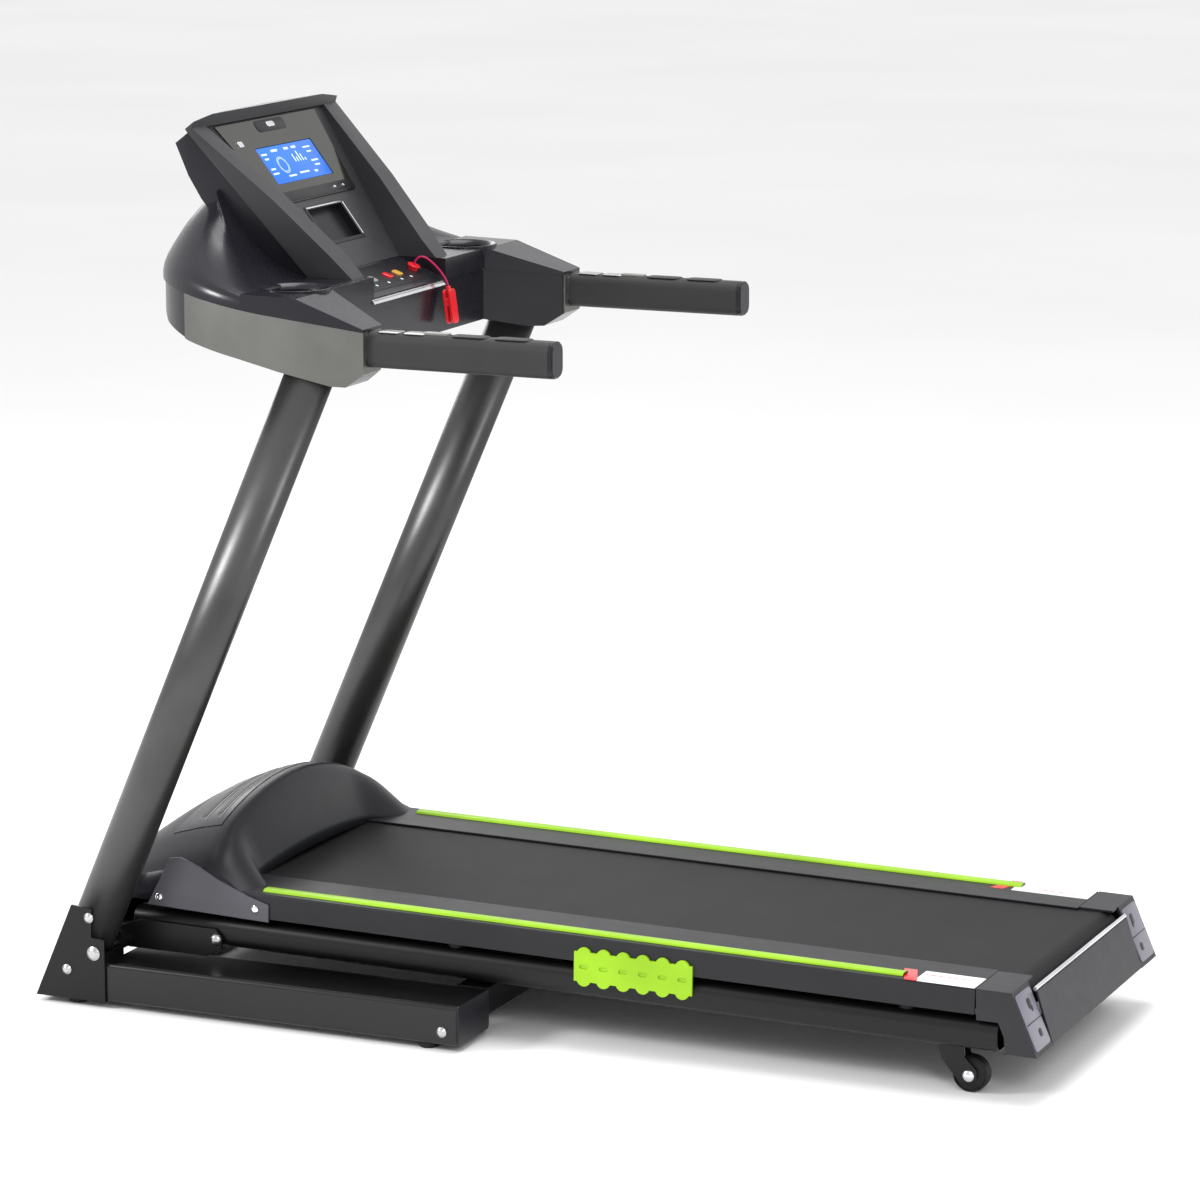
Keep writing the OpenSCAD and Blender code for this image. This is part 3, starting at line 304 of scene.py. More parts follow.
def merged(node):
    """A bmesh of a CAD node with its loose triangles joined into flat faces."""
    bm = bmesh.new()
    bm.from_mesh(frame["nodes"][node].data)
    bmesh.ops.remove_doubles(bm, verts=bm.verts, dist=2e-6)
    bmesh.ops.dissolve_limit(bm, angle_limit=math.radians(0.8), verts=bm.verts, edges=bm.edges,
                             delimit={"NORMAL"})
    return bm


def soften(node, material, width=None, segments=3):
    """A copy of a CAD node with its triangles joined and its edges rounded, finely unless told."""
    piece = finish_piece(node + "_finish", merged(node), material, BODY_OF[node], node=node)
    add_bevel(piece, width or settings()[1].fine_edge, segments)
    return piece


def paint(node, material):
    """Gives a CAD node that stays in view its finished material."""
    mesh = frame["nodes"][node].data
    mesh.materials.clear()
    mesh.materials.append(material)


# ---------- materials ----------

def new_material(name):
    material = bpy.data.materials.new(name)
    material.use_nodes = True
    tree = material.node_tree
    shader = tree.nodes["Principled BSDF"]
    place = tree.nodes.new("ShaderNodeTexCoord")
    return material, tree, shader, place.outputs["Object"]


def noise_node(tree, place, scale, detail=3.0, roughness=0.5):
    noise = tree.nodes.new("ShaderNodeTexNoise")
    noise.inputs["Scale"].default_value = scale
    noise.inputs["Detail"].default_value = detail
    noise.inputs["Roughness"].default_value = roughness
    tree.links.new(place, noise.inputs["Vector"])
    return noise.outputs["Fac"]


def colour_blend(tree, factor, low, high, start=0.35, end=0.65):
    ramp = tree.nodes.new("ShaderNodeValToRGB")
    ramp.color_ramp.elements[0].position = start
    ramp.color_ramp.elements[0].color = (*low, 1)
    ramp.color_ramp.elements[1].position = end
    ramp.color_ramp.elements[1].color = (*high, 1)
    tree.links.new(factor, ramp.inputs["Fac"])
    return ramp.outputs["Color"]


def value_range(tree, factor, low, high):
    span = tree.nodes.new("ShaderNodeMapRange")
    span.inputs["To Min"].default_value = low
    span.inputs["To Max"].default_value = high
    tree.links.new(factor, span.inputs["Value"])
    return span.outputs["Result"]


def bump_node(tree, height, strength, distance):
    bump = tree.nodes.new("ShaderNodeBump")
    bump.inputs["Strength"].default_value = strength
    bump.inputs["Distance"].default_value = distance
    tree.links.new(height, bump.inputs["Height"])
    return bump.outputs["Normal"]


def shade(value, factor):
    return tuple(min(1.0, channel * factor) for channel in value)


def moulded(name, base, rough, grain=900, depth=0.00012, coat=0.0, metal=0.0, strength=0.35, shine=0.3):
    """Moulded or painted surface: slow tone changes, fine grain and uneven gloss."""
    material, tree, shader, place = new_material(name)
    base = tuple(base)
    slow = noise_node(tree, place, 7.0, 4.0)
    tree.links.new(colour_blend(tree, slow, shade(base, 0.88), shade(base, 1.12)), shader.inputs["Base Color"])
    tree.links.new(value_range(tree, noise_node(tree, place, 38.0, 5.0), rough - 0.05, rough + 0.05),
                   shader.inputs["Roughness"])
    fine = noise_node(tree, place, grain, 2.0)
    tree.links.new(bump_node(tree, fine, strength, depth), shader.inputs["Normal"])
    shader.inputs["Metallic"].default_value = metal
    shader.inputs["Specular IOR Level"].default_value = shine
    shader.inputs["Coat Weight"].default_value = coat
    shader.inputs["Coat Roughness"].default_value = 0.12
    return material


def woven_belt(name, base):
    """Belt cover with a fine square weave and a slow sheen."""
    material, tree, shader, place = new_material(name)
    heights = []
    for axis in ("X", "Y"):
        wave = tree.nodes.new("ShaderNodeTexWave")
        wave.bands_direction = axis
        wave.inputs["Scale"].default_value = 170
        wave.inputs["Distortion"].default_value = 0.6
        tree.links.new(place, wave.inputs["Vector"])
        heights.append(wave.outputs["Fac"])
    mix = tree.nodes.new("ShaderNodeMath")
    mix.operation = "MULTIPLY"
    for height, socket in zip(heights, mix.inputs):
        tree.links.new(height, socket)
    slow = noise_node(tree, place, 9.0, 4.0)
    tree.links.new(colour_blend(tree, slow, shade(base, 0.8), shade(base, 1.25)), shader.inputs["Base Color"])
    tree.links.new(value_range(tree, slow, 0.50, 0.62), shader.inputs["Roughness"])
    shader.inputs["Specular IOR Level"].default_value = 0.22
    tree.links.new(bump_node(tree, mix.outputs["Value"], 0.5, 0.0003), shader.inputs["Normal"])
    return material


def finish(key):
    """The named finish, made when it is first asked for."""
    known = bpy.data.materials.get(key + "_finish")
    if known:
        return known
    colours = settings()[0]
    if key == "belt":
        return woven_belt("belt_finish", tuple(colours.belt))
    base, rough, grain, depth, extra = {
        "frame": (colours.frame_black, 0.36, 600, 0.0002, {}),
        "rail_paint": (colours.frame_black, 0.30, 900, 0.0001, {"coat": 0.25}),
        "upright": (colours.upright_grey, 0.33, 1100, 0.00008, {"metal": 0.75}),
        "horn": (colours.horn_dark, 0.34, 1400, 0.00006, {}),
        "gloss": (colours.horn_dark, 0.27, 1400, 0.00001, {"coat": 0.12, "strength": 0.06}),
        "silver": (colours.cover_silver, 0.36, 1400, 0.00006, {"metal": 0.8}),
        "plate": (colours.plate_silver, 0.36, 1200, 0.00006, {"metal": 0.3}),
        "head": (colours.head_grey, 0.40, 1300, 0.0001, {}),
        "cap": (colours.cap_grey, 0.42, 1300, 0.0001, {}),
        "rail": (colours.rail_dark, 0.40, 1100, 0.0001, {}),
        "arm_plate": (colours.arm_plate, 0.38, 1300, 0.00006, {"metal": 0.4}),
        "panel": (colours.panel_silver, 0.38, 1400, 0.00006, {"metal": 0.4}),
        "hood": (colours.horn_dark, 0.38, 1100, 0.00012, {}),
        "lime": (colours.lime, 0.36, 1200, 0.00008, {}),
        "red": (colours.red, 0.25, 900, 0.00005, {"coat": 0.3}),
        "steel": ((0.50, 0.50, 0.51), 0.28, 700, 0.00004, {"metal": 1.0}),
        "alloy": ((0.42, 0.42, 0.43), 0.40, 700, 0.00006, {"metal": 1.0}),
        "bright": ((0.78, 0.78, 0.80), 0.16, 700, 0.00002, {"metal": 1.0}),
        "rubber": ((0.010, 0.010, 0.010), 0.60, 800, 0.0002, {}),
        "recess": ((0.007, 0.007, 0.009), 0.34, 900, 0.00006, {}),
        "foam": ((0.022, 0.023, 0.022), 0.58, 700, 0.0003, {"strength": 0.6}),
        "lens": ((0.010, 0.011, 0.007), 0.10, 400, 0.00001, {"coat": 0.5}),
        "screen": ((0.012, 0.13, 0.60), 0.22, 500, 0.00002, {}),
        "marks": ((0.55, 0.72, 0.80), 0.4, 500, 0.00002, {}),
        "label": ((0.75, 0.75, 0.75), 0.45, 500, 0.00002, {}),
        "wood": ((0.05, 0.035, 0.02), 0.5, 300, 0.0001, {}),
        "key": ((0.22, 0.22, 0.21), 0.35, 900, 0.00005, {}),
        "gold": ((0.55, 0.30, 0.04), 0.32, 900, 0.00005, {}),
        "tether": ((0.42, 0.008, 0.08), 0.6, 1500, 0.0002, {}),
    }[key]
    return moulded(key + "_finish", base, rough, grain, depth, **extra)


# ---------- hood skin ----------

HOOD_FRONT = [(-55, 66), (-55, 80), (-52, 95), (-46, 109), (-36, 124), (-22, 139), (-2, 154), (22, 170),
              (50, 185), (78, 197), (102, 206), (121, 211.5), (132, 213), (139, 211)]
HOOD_REAR = [(139, 211), (144.5, 205), (149, 194), (154, 178), (160, 158), (166, 138), (172, 118), (178, 100)]
HOOD_CROWN = 520
HOOD_STATIONS = [0, 45, 90, 130, 160, 181, 196, 210, 222, 234, 246, 258, 268, 276, 281, 283.5]


def ease(t):
    t = min(1.0, max(0.0, t))
    return t * t * (3 - 2 * t)


def hood_rows(x_fixed, x_end, reach, start, span):
    """Matrices that carry one half of the hood's line out to each station across the deck."""
    rows = []
    for y in HOOD_STATIONS[1:]:
        drop = HOOD_CROWN - math.sqrt(HOOD_CROWN ** 2 - y * y) + 7 * ease((y - 262) / 24)
        low = 64 * MM
        az = (150 - drop) / 150
        stretch = 1 + reach * ease((y - start) / span) / (x_end - x_fixed)
        rows.append(affine(ax=stretch, bx=x_fixed * MM * (1 - stretch), by=y * MM, az=az, bz=low * (1 - az)))
    return rows


def hood_skin(bm):
    """The hood's outer surface in deck coordinates, without its wall."""
    halves = ((HOOD_FRONT, hood_rows(139, -55, 30, 196, 88)), (HOOD_REAR, hood_rows(139, 178, 49, 176, 70)))
    for line, rows in halves:
        edges = chain(bm, [(x * MM, 0, z * MM) for x, z in line])
        edges = loft(bm, edges, rows)
        made = bmesh.ops.extrude_edge_only(bm, edges=edges)
        bmesh.ops.scale(bm, vec=(1, 1, 0), space=Matrix.Translation((0, 0, -0.064)), verts=fresh_verts(made))
    bmesh.ops.remove_doubles(bm, verts=bm.verts, dist=1e-5)
    bmesh.ops.mirror(bm, geom=bm.verts[:] + bm.edges[:] + bm.faces[:], axis="Y", merge_dist=1e-5)
    bmesh.ops.transform(bm, matrix=DECK, verts=bm.verts)


# ---------- horn ----------

# Cup holders: X, Y and radius; then the wall from outside over the rim to the floor
CUP = (402, 282, 39.5)
CUP_PROFILE = [(49.5, -36), (51.5, -12), (52.5, -0.6), (52.5, 0.7), (51.2, 1.3), (49.2, 1.0), (46, -1.2),
               (42.6, -5), (40.4, -9.6), (39.5, -15), (38.8, -56), (36.8, -62), (31, -64.4), (0.05, -64.6)]
# Bolts and screws: radius and height of their heads
ARM_BOLT_PROFILE = [(0.05, 6.9), (3, 6.7), (6, 5.4), (8.4, 3.2), (9.4, 1.2), (9.4, -0.5)]
WHEEL_BOLT_PROFILE = [(0.05, 4.2), (4, 3.9), (7, 2.6), (8.6, 0.8), (8.6, -0.8)]
SCREW_PROFILE = [(0.05, 2.0), (2.2, 2.6), (4.2, 2.3), (5.6, 1.4), (6.0, 0.4), (6.0, -0.4)]
# Bolts of the fold arms, and the ends of the end caps' sloping rear faces: deck X and Z
ARM_BOLT = (158, 18)
CAP_HEAD = (1400, 96)
CAP_FOOT = (1440, 7)
TETHER_ROUTE = [(409.8, 92, 1075.6), (411.8, 92, 1081), (415.5, 92.5, 1085.4), (420.5, 93.5, 1087.6),
                (425.8, 95, 1087), (430.5, 96.5, 1084.4), (434.7, 98, 1081), (438.6, 99.6, 1077.2),
                (442.2, 101.2, 1073.2), (445.6, 102.6, 1069), (448.8, 104, 1064.6), (451.8, 105.2, 1060),
                (454.6, 106.2, 1055.2), (457, 106.8, 1050.2), (459, 107, 1045)]
KEYS = (("key_slower", -78, "key"), ("key_faster", -46, "key"), ("key_stop", 6, "red"), ("key_start", 38, "gold"))
# Bars and blocks on the display: across, up, width, height
DISPLAY_MARKS = [(-74, 20, 18, 3), (-74, 12, 12, 3), (-38, 24, 20, 4), (0, 24, 14, 4), (24, 24, 14, 4),
                 (62, 20, 22, 3), (62, 12, 14, 3), (6, 6, 3, 14), (14, 3, 3, 8), (22, 8, 3, 18), (30, 5, 3, 12),
                 (38, 1, 3, 5), (62, -4, 22, 3), (62, -12, 16, 3), (-74, -6, 14, 3), (-74, -14, 18, 3),
                 (10, -20, 30, 3), (46, -22, 10, 4), (-30, -22, 24, 3)]

COWL_X = (150, 366)
# Rows of the cowl: front X, rear X, half width, front height, rear height
COWL_ROWS = [(150, 366, 377.5, 1102, 1070), (152, 366, 376, 1112, 1076), (156, 366, 372, 1123, 1081),
             (162, 365, 364, 1136, 1083.5), (169, 362, 352, 1151, 1085), (177, 356, 336, 1167, 1087),
             (186, 347, 317, 1182, 1090), (195, 334, 297, 1195, 1096), (204, 318, 277, 1206, 1106),
             (212, 300, 259, 1214, 1121), (218, 283, 245, 1219, 1139), (223, 267, 234, 1222, 1160),
             (227, 254, 226, 1223, 1182), (230, 244, 221, 1222, 1203)]


def cowl_row(front, rear, half, front_z, rear_z):
    ax = (rear - front) / (COWL_X[1] - COWL_X[0])
    slope = (rear_z - front_z) / (COWL_X[1] - COWL_X[0])
    move = affine(ax=ax, bx=(front - COWL_X[0] * ax) * MM, ay=half / 378, az=0.0,
                  bz=(front_z - COWL_X[0] * slope) * MM, zx=slope)
    move[2][2] = 1.0
    return move


def cowl(bm):
    """The dark hood behind the console, lofted from the horn's plan up to its narrow crest."""
    x0, x1 = COWL_X
    face = outline_face(bm, [Vector(p) * MM for p in ((x1, -378, 0), (x1, 378, 0), (x0, 378, 0), (x0, -378, 0))])
    corners = [vert for vert in face.verts if vert.co.x < (x0 + 1) * MM]
    bmesh.ops.bevel(bm, geom=corners, offset=(x1 - x0 - 1) * MM, segments=28, profile=0.5, affect="VERTICES",
                    material=-1)
    bmesh.ops.subdivide_edges(bm, edges=[e for e in bm.edges if e.calc_length() > 0.3], cuts=12)
    edges = [edge for edge in bm.edges if len(edge.link_faces) < 2]
    bmesh.ops.delete(bm, geom=bm.faces[:], context="FACES_ONLY")
    rows = [cowl_row(150, 366, 378, 1092, 1062)] + [cowl_row(*row) for row in COWL_ROWS]
    bmesh.ops.transform(bm, matrix=rows[0], verts=bm.verts)
    edges = loft(bm, edges, [row @ rows[0].inverted() for row in rows[1:]])
    bmesh.ops.contextual_create(bm, geom=edges)
    bmesh.ops.translate(bm, vec=(CAD_BOX[0].x, 0, 0), verts=bm.verts)


# ---------- operators ----------

class TREADMILL_OT_stage(bpy.types.Operator):
    """Makes the camera, the floor and the studio lights"""
    bl_idname = "treadmill.stage"
    bl_label = "Stage"

    def execute(self, context):
        target = Vector((-0.01375, 0, 0.6033))
        azimuth, elevation, distance = math.radians(23.554), math.radians(11.421), 6.8275
        back = Vector((math.sin(azimuth) * math.cos(elevation), -math.cos(azimuth) * math.cos(elevation),
                       math.sin(elevation)))
        data = bpy.data.cameras.new("camera")
        data.lens = 138.03
        data.sensor_width = 36.0
        camera = bpy.data.objects.new("camera", data)
        camera.location = target + back * distance
        camera.rotation_mode = "QUATERNION"
        camera.rotation_quaternion = (-back).to_track_quat("-Z", "Y")
        context.scene.collection.objects.link(camera)
        context.scene.camera = camera
        context.scene.view_settings.view_transform = "Standard"
        self.floor(context)
        self.lights(context)
        return {"FINISHED"}

    def floor(self, context):
        bm = bmesh.new()
        bmesh.ops.create_grid(bm, x_segments=1, y_segments=1, size=45.0)
        mesh = bpy.data.meshes.new("floor")
        bm.to_mesh(mesh)
        bm.free()
        material, tree, shader, place = new_material("floor_pale")
        tree.links.new(colour_blend(tree, noise_node(tree, place, 0.6), (0.90, 0.90, 0.90), (0.93, 0.93, 0.93)),
                       shader.inputs["Base Color"])
        shader.inputs["Roughness"].default_value = 0.85
        mesh.materials.append(material)
        floor = bpy.data.objects.new("floor", mesh)
        context.scene.collection.objects.link(floor)

    def lights(self, context):
        world = bpy.data.worlds.new("studio")
        world.use_nodes = True
        world.node_tree.nodes["Background"].inputs["Color"].default_value = (1, 1, 1, 1)
        world.node_tree.nodes["Background"].inputs["Strength"].default_value = 0.95
        context.scene.world = world
        places = {
            "key": ((-3.4, -2.6, 2.6), 115, 0.9),
            "fill": ((2.6, -3.6, 2.6), 50, 1.2),
            "top": ((0.2, 0.3, 4.2), 110, 2.4),
            "rim": ((-2.6, 3.0, 2.4), 24, 1.6),
        }
        for name, (spot, power, extent) in places.items():
            data = bpy.data.lights.new(name, "AREA")
            data.energy = power
            data.size = extent
            light = bpy.data.objects.new(name, data)
            light.location = spot
            light.rotation_mode = "QUATERNION"
            light.rotation_quaternion = (Vector((0, 0, 0.6)) - Vector(spot)).to_track_quat("-Z", "Y")
            context.scene.collection.objects.link(light)


class TREADMILL_OT_tether(bpy.types.Operator):
    """Makes the safety tether with its clothing clip"""
    bl_idname = "treadmill.tether"
    bl_label = "Safety Tether"

    def execute(self, context):
        curve = bpy.data.curves.new("tether", "CURVE")
        curve.dimensions = "3D"
        curve.bevel_depth = 0.0015
        curve.bevel_resolution = 4
        spline = curve.splines.new("BEZIER")
        spline.bezier_points.add(len(TETHER_ROUTE) - 1)
        for knot, point in zip(spline.bezier_points, TETHER_ROUTE):
            knot.co = machine(*point)
            knot.handle_left_type = knot.handle_right_type = "AUTO"
        curve.materials.append(finish("tether"))
        tether = bpy.data.objects.new("tether", curve)
        context.scene.collection.objects.link(tether)
        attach(tether, "safety_key")
        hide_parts("safety_tether")
        clip = soften("safety_clip", finish("red"))
        return {"FINISHED"}


class TREADMILL_OT_horn(bpy.types.Operator):
    """Makes the horn: the smooth cowl, the two arms and the cup holders"""
    bl_idname = "treadmill.horn"
    bl_label = "Horn"

    def execute(self, context):
        bm = bmesh.new()
        cowl(bm)
        finish_piece("horn_cowl", bm, finish("gloss"), "base", 50)
        bm = merged("horn_top")
        keep_between(bm, Matrix.Translation((CAD_BOX[0].x, 0, 0)), (1, 0, 0), 362, 700)
        arms = finish_piece("horn_arms", bm, finish("gloss"), "base", 35, node="horn_top")
        for side in SIDES.values():
            cut_away(arms, self.cup_cutter(context, side))
        add_bevel(arms, settings()[1].edge)
        bm = bmesh.new()
        for side in SIDES.values():
            x, y, _ = CUP
            turned(bm, Matrix.Translation(machine(x, side * y, 1085.5)), CUP_PROFILE, 64)
        finish_piece("cup_holders", bm, finish("gloss"), "base", 50)
        soften("horn_tray", finish("gloss"), 1.2 * MM)
        for name in SIDES:
            soften(f"side_cover_{name}", finish("silver"), 1.2 * MM)
        return {"FINISHED"}

    def cup_cutter(self, context, side):
        x, y, radius = CUP
        bm = bmesh.new()
        bmesh.ops.create_cone(bm, cap_ends=True, segments=64, radius1=(radius + 12) * MM,
                              radius2=(radius + 12) * MM, depth=10 * MM,
                              matrix=Matrix.Translation(machine(x, side * y, 1083)))
        mesh = bpy.data.meshes.new("cup_cutter")
        bm.to_mesh(mesh)
        bm.free()
        cutter = bpy.data.objects.new("cup_cutter", mesh)
        context.scene.collection.objects.link(cutter)
        return cutter


class TREADMILL_OT_console(bpy.types.Operator):
    """Makes the console: head, display, badge plate, buttons, device rest and keypad"""
    bl_idname = "treadmill.console"
    bl_label = "Console"

    def execute(self, context):
        soften("console_head", finish("head"), 3 * MM)
        soften("console_back", finish("horn"), 3 * MM)
        soften("device_rest", finish("recess"))
        soften("display_lens", finish("lens"), 0.8 * MM, 2)
        self.display()
        self.trim()
        self.keypad()
        return {"FINISHED"}

    def display(self):
        bm = bmesh.new()
        slab(bm, 177.6, 63.6, 1.6, 3, 0.4, on_face(0, 0, 189))
        finish_piece("display_screen", bm, finish("screen"), "base", node="display_module")
        bm = bmesh.new()
        for x, y, wide, high in DISPLAY_MARKS:
            slab(bm, wide, high, 0.25, min(wide, high) * 0.3, 0.05, on_face(1.6, x, 189 + y), 2)
        for radius in (11, 13.5):
            turned(bm, on_face(1.7, -38, 187), [(radius, 0), (radius, 0.25), (radius + 0.9, 0.25),
                                                (radius + 0.9, 0), (radius, 0)], 40)
        finish_piece("display_marks", bm, finish("marks"), "base")

    def trim(self):
        bm = bmesh.new()
        slab(bm, 252, 17, 0.8, 3, 0.3, on_face(2.5, 0, 134))
        slab(bm, 92, 20, 0.8, 8, 0.3, on_face(2.5, 0, 256))
        finish_piece("lens_band", bm, finish("recess"), "base")
        bm = bmesh.new()
        slab(bm, 24, 9, 0.6, 4, 0.2, on_face(3.3, 0, 257))
        slab(bm, 14, 10, 2.2, 2.5, 0.6, on_face(2.5, -124, 232))
        for y in (64, 92):
            slab(bm, 7, 4, 1.2, 1.8, 0.4, on_face(3.3, y, 134))
        # Painted highlight: this bright strip up the far side of the device rest stands in for the highlight on
        # the recess's far wall.
        slab(bm, 3.5, 58, 2.4, 1.5, 0.6, on_face(0.6, 58.5, 78.5))
        slab(bm, 112, 2.6, 1.6, 1.2, 0.4, on_face(0.6, 0, 109.5))
        finish_piece("console_trim_and_highlight", bm, finish("bright"), "base")

    def keypad(self):
        soften("keypad_panel", finish("recess"), 0.5 * MM, 2)
        for name, y, finish_name in KEYS:
            bm = bmesh.new()
            slab(bm, 15.8, 15.8, 6, 4, 1.2, on_shelf(0, y, -3))
            finish_piece(f"{name}_finish", bm, finish(finish_name), name, node=name)
        bm = bmesh.new()
        slab(bm, 22, 10, 0.4, 2, 0.1, on_shelf(-18, -62, 0.6))
        for y in (-98, -86, -62, -22, 22, 54):
            slab(bm, 5, 5, 0.4, 2.4, 0.1, on_shelf(17, y, 0.6), 4)
        finish_piece("keypad_marks", bm, finish("marks"), "base")
        soften("safety_key", finish("red"))
        bm = bmesh.new()
        pulled(bm, [(433, -121, 1057.6), (441, -121, 1054.6), (446.6, -121, 1050), (449, -121, 1043.6),
                    (447.4, -121, 1042.6), (444.6, -121, 1048.6), (433, -121, 1055)],
               Matrix.Translation((CAD_BOX[0].x, 0, 0)), (0, 242, 0))
        strip = finish_piece("shelf_lip", bm, finish("bright"), "base", 30)
        add_bevel(strip, 0.5 * MM, 2)


class TREADMILL_OT_handles(bpy.types.Operator):
    """Makes the handlebar grips with their pulse plates, pads, buttons and end plugs"""
    bl_idname = "treadmill.handles"
    bl_label = "Handlebars"

    def execute(self, context):
        soften("handlebar_grips", finish("foam"), 1.2 * MM)
        soften("handlebar_end_plugs", finish("horn"), settings()[1].edge)
        paint("handlebar_tubes", finish("steel"))
        for name in SIDES:
            soften(f"handle_button_{name}", finish("key"))
        plates, pads = bmesh.new(), bmesh.new()
        for side in SIDES.values():
            y = side * 350.5
            for x in (588, 628):
                slab(plates, 34, 26, 1.0, 6, 0.4, Matrix.Translation(machine(x, y, 1040.6)))
            for x in (712, 778):
                slab(pads, 54, 26, 1.2, 8, 0.6, Matrix.Translation(machine(x, y, 1040.6)))
        finish_piece("pulse_plates", plates, finish("steel"), "base")
        finish_piece("grip_pads", pads, finish("foam"), "base")
        return {"FINISHED"}


class TREADMILL_OT_hood(bpy.types.Operator):
    """Makes the drive hood with its insert, slots, screws and side panels"""
    bl_idname = "treadmill.hood"
    bl_label = "Drive Hood"

    def execute(self, context):
        bm = bmesh.new()
        hood_skin(bm)
        hood = finish_piece("hood_finish", bm, finish("hood"), "deck", 60, node="hood_shell")
        add_wall(hood, 3 * MM)
        self.band("hood_insert", 40, 122, 204, 1.0, "gloss", "hood_dark")
        self.band("hood_line_upper", 108, 110.5, 186, 1.7, "panel", "panel_silver")
        self.band("hood_line_lower", 84, 86.5, 186, 1.7, "panel", "panel_silver")
        self.band("hood_slot_upper", 98, 106, 172, 1.5, "recess", "black_rubber")
        self.band("hood_slot_lower", 72, 80, 172, 1.5, "recess", "black_rubber")
        bm = bmesh.new()
        for side in SIDES.values():
            turned(bm, on_side(60, side * 287.2, 72, side), SCREW_PROFILE, 28)
            turned(bm, on_side(222, side * 287.2, 72, side), SCREW_PROFILE, 28)
        finish_piece("hood_screws", bm, finish("bright"), "deck")
        soften("hood_side_panels", finish("arm_plate"), 1.0 * MM)
        return {"FINISHED"}

    def band(self, name, x0, x1, reach, lift, finish_name, slot):
        bm = bmesh.new()
        hood_skin(bm)
        keep_between(bm, DECK, (1, 0, 0), x0, x1)
        keep_between(bm, DECK, (0, 1, 0), -reach, reach)
        keep_between(bm, DECK, (0, 0, 1), 110, 300)
        bmesh.ops.recalc_face_normals(bm, faces=bm.faces)
        if sum(face.normal.z for face in bm.faces) < 0:
            bmesh.ops.reverse_faces(bm, faces=bm.faces)
        bmesh.ops.solidify(bm, geom=bm.faces[:], thickness=-lift * MM)
        band = finish_piece(name, bm, finish(finish_name), "deck", 45)
        add_bevel(band, 0.4 * MM, 2, 50)


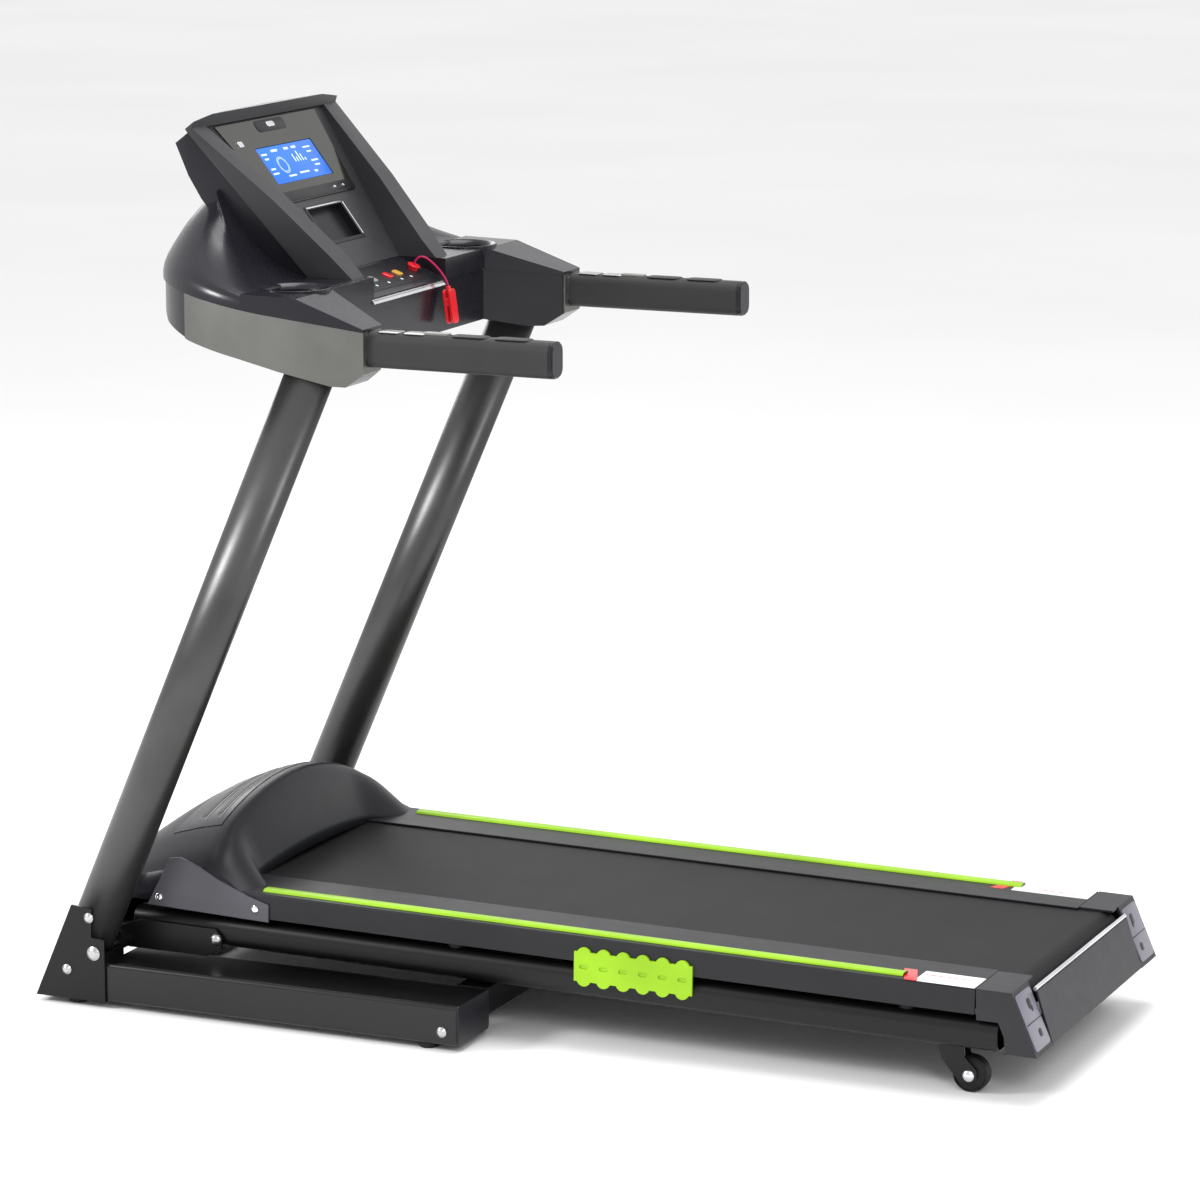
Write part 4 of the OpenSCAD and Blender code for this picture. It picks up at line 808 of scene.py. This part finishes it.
class TREADMILL_OT_deck(bpy.types.Operator):
    """Makes the belt, foot rails, strips, labels, end caps and wheels"""
    bl_idname = "treadmill.deck"
    bl_label = "Deck"

    def execute(self, context):
        paint("running_belt", finish("belt"))
        paint("deck_board", finish("wood"))
        soften("foot_rails", finish("rail"))
        soften("side_pads", finish("lime"))
        bm = merged("green_strips")
        keep_between(bm, DECK, (1, 0, 0), 0, 1236)
        strips = finish_piece("green_strips_finish", bm, finish("lime"), BODY_OF["green_strips"],
                              node="green_strips")
        add_bevel(strips, settings()[1].fine_edge)
        soften("end_caps", finish("cap"), 1.8 * MM)
        soften("rear_cover", finish("hood"), 1.5 * MM)
        for node in ("deck_tubes", "deck_cross_tubes", "deck_arms", "motor_tray", "wheel_forks"):
            soften(node, finish("frame"))
        self.labels()
        self.cap_details()
        self.wheels()
        return {"FINISHED"}

    def labels(self):
        red, white = bmesh.new(), bmesh.new()
        for side in SIDES.values():
            slant = Matrix(((1, side * 0.35, 0, 0), (0, 1, 0, 0), (0, 0, 1, 0), (0, 0, 0, 1)))
            start = 1243 if side < 0 else 1212
            middle = (start + 14 + 1346) / 2
            slab(red, 20, 52, 0.5, 1.5, 0.1,
                 DECK @ Matrix.Translation(Vector((start, side * 258, 96)) * MM) @ slant)
            slab(white, 1346 - start - 14, 52, 0.4, 1.5, 0.1,
                 DECK @ Matrix.Translation(Vector((middle, side * 258, 96)) * MM))
            for x, length in ((1276, 26), (1302, 14), (1318, 8)):
                slab(red, length, 2, 0.6, 0.9, 0.1, DECK @ Matrix.Translation(Vector((x, side * 250, 96)) * MM))
        finish_piece("rail_labels_red", red, finish("red"), "deck")
        finish_piece("rail_labels_white", white, finish("label"), "deck")

    def cap_details(self):
        plates, dark, bright = bmesh.new(), bmesh.new(), bmesh.new()
        slope = math.atan2(CAP_FOOT[0] - CAP_HEAD[0], CAP_HEAD[1] - CAP_FOOT[1])
        for side in SIDES.values():
            middle = Vector(((CAP_HEAD[0] + CAP_FOOT[0]) / 2, side * 248, (CAP_HEAD[1] + CAP_FOOT[1]) / 2))
            face = DECK @ Matrix.Translation(middle * MM) @ Matrix.Rotation(math.radians(90) - slope, 4, "Y")
            slab(plates, 84, 62, 1.6, 6, 0.7, face)
            # Painted shade: the dark patches on each cap plate stand in for the shade inside the plate's openings.
            for u, v, wide, high in ((-22, -6, 16, 13), (-14, -10, 9, 7), (3, 0, 1.6, 60), (22, -8, 12, 12)):
                slab(dark, wide, high, 0.5, min(wide, high) * 0.4, 0.1,
                     face @ Matrix.Translation(Vector((u, side * v, 1.5)) * MM))
            turned(bright, on_side(ARM_BOLT[0], side * 290, ARM_BOLT[1], side), ARM_BOLT_PROFILE, 36)
        finish_piece("cap_plates", plates, finish("plate"), "deck")
        finish_piece("cap_hole_shade", dark, finish("recess"), "deck")
        finish_piece("arm_bolts", bright, finish("steel"), "deck")
        # Painted highlight: this bright rod along the top edge of the rear cover stands in for the highlight on
        # that edge.
        bm = bmesh.new()
        bmesh.ops.create_cone(bm, cap_ends=True, segments=32, radius1=3.2 * MM, radius2=3.2 * MM,
                              depth=422 * MM, matrix=DECK @ Matrix.Translation(Vector((1410, 0, 84)) * MM)
                              @ Matrix.Rotation(math.radians(90), 4, "X"))
        finish_piece("rear_cover_highlight_rod", bm, finish("bright"), "deck", 40)

    def wheels(self):
        for name, side in SIDES.items():
            low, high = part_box(f"rear_wheel_{name}")
            centre = (low + high) / 2
            half, radius = (high.y - low.y) / 2 / MM, (high.z - low.z) / 2 / MM
            place = Matrix.Translation(centre) @ Matrix.Rotation(math.radians(90), 4, "X")
            bm = bmesh.new()
            turned(bm, place, [(4.1, -half + 1), (8, -half + 0.5), (10, -half + 0.5), (radius * 0.7, -half + 3),
                               (radius - 4, -half + 3), (radius - 2.2, -half), (radius, -half + 2.4),
                               (radius, half - 2.4), (radius - 2.2, half), (radius - 4, half - 3),
                               (radius * 0.7, half - 3), (10, half - 0.5), (8, half - 0.5), (4.1, half - 1),
                               (4.1, -half + 1)], 48)
            finish_piece(f"wheel_{name}_tyre", bm, finish("rubber"), f"wheel_{name}", 40,
                         node=f"rear_wheel_{name}")
            bm = bmesh.new()
            for end in (-1, 1):
                turned(bm, place, [(4.2, end * (half - 0.9)), (4.4, end * (half - 0.2)),
                                   (9.0, end * (half - 0.2)), (10.4, end * (half - 1.2))], 36)
            hub = finish_piece(f"wheel_{name}_hub", bm, finish("bright"), f"wheel_{name}", 40)
            add_wall(hub, 0.6 * MM)
            bm = bmesh.new()
            turned(bm, Matrix.Translation(centre + Vector((0, side * 16.5 * MM, 0))) @ side_turn(side),
                   WHEEL_BOLT_PROFILE, 36)
            finish_piece(f"wheel_{name}_bolt", bm, finish("bright"), "deck", 40)


class TREADMILL_OT_frame(bpy.types.Operator):
    """Makes the base, uprights, bolts, drive and strut"""
    bl_idname = "treadmill.frame"
    bl_label = "Frame and Drive"

    def execute(self, context):
        for node in ("base_rail_left", "base_rail_right"):
            soften(node, finish("rail_paint"), 1.2 * MM)
        for node in ("base_crossmembers", "foot_brackets"):
            soften(node, finish("frame"))
        for name in SIDES:
            self.upright(f"upright_{name}")
        for node in ("frame_bolts", "pivot_bolts"):
            soften(node, finish("steel"), 0.5 * MM, 2)
        soften("base_feet", finish("rubber"), 1.2 * MM)
        soften("inlet_socket", finish("rubber"), 0.4 * MM, 2)
        soften("power_switch", finish("red"), 0.5 * MM, 2)
        plain = {
            "steel": ("front_roller", "rear_roller", "roller_shafts", "motor_rotor", "strut_rod"),
            "alloy": ("controller_box",),
            "rubber": ("deck_cushions", "drive_belt"),
            "frame": ("strut_cylinder", "motor_body", "horn_crossbeam"),
        }
        for name, nodes in plain.items():
            for node in nodes:
                paint(node, finish(name))
        self.rail_plugs()
        return {"FINISHED"}

    def upright(self, node):
        """An oval tube that leans back from its foot to the handlebar."""
        low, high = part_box(node)
        lean = math.tan(math.radians(UPRIGHT_LEAN))
        rise = high.z - low.z
        bm = bmesh.new()
        ring = bmesh.ops.create_circle(bm, cap_ends=False, segments=64, radius=0.5)["verts"]
        bmesh.ops.scale(bm, vec=(high.x - low.x - rise * lean, high.y - low.y, 1), verts=ring)
        foot = Vector((low.x + (high.x - low.x - rise * lean) / 2, (low.y + high.y) / 2, low.z))
        bmesh.ops.translate(bm, vec=foot, verts=ring)
        made = bmesh.ops.extrude_edge_only(bm, edges=bm.edges[:])
        bmesh.ops.translate(bm, vec=(rise * lean, 0, rise), verts=fresh_verts(made))
        tube = finish_piece(node + "_finish", bm, finish("upright"), "base", 60, node=node)
        add_wall(tube, 2.5 * MM)

    def rail_plugs(self):
        bm = bmesh.new()
        for name in SIDES:
            low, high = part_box(f"base_rail_{name}")
            place = Matrix.Translation(Vector((high.x - MM, (low.y + high.y) / 2, (low.z + high.z) / 2)))
            slab(bm, (high.y - low.y) / MM, (high.z - low.z) / MM, 3.5, 7, 2.0, place @ UPRIGHT_TURN)
        finish_piece("rail_plugs", bm, finish("horn"), "base")


class TREADMILL_PT_panel(bpy.types.Panel):
    """Lists the steps that build the treadmill"""
    bl_idname = "TREADMILL_PT_panel"
    bl_label = "Treadmill"
    bl_space_type = "VIEW_3D"
    bl_region_type = "UI"
    bl_category = "Treadmill"

    def draw(self, context):
        for operator in OPERATORS:
            self.layout.operator(operator.bl_idname)


OPERATORS = (TREADMILL_OT_stage, TREADMILL_OT_tether, TREADMILL_OT_horn, TREADMILL_OT_console,
             TREADMILL_OT_handles, TREADMILL_OT_hood, TREADMILL_OT_deck, TREADMILL_OT_frame)
CLASSES = (TreadmillColours, TreadmillSizes, *OPERATORS, TREADMILL_PT_panel)


def register():
    for cls in CLASSES:
        bpy.utils.register_class(cls)
    bpy.types.Scene.treadmill_colours = bpy.props.PointerProperty(type=TreadmillColours)
    bpy.types.Scene.treadmill_sizes = bpy.props.PointerProperty(type=TreadmillSizes)


def unregister():
    del bpy.types.Scene.treadmill_sizes
    del bpy.types.Scene.treadmill_colours
    for cls in reversed(CLASSES):
        bpy.utils.unregister_class(cls)


def main():
    register()
    for operator in OPERATORS:
        getattr(bpy.ops.treadmill, operator.bl_idname.split(".")[1])()


if __name__ == "__main__":
    main()
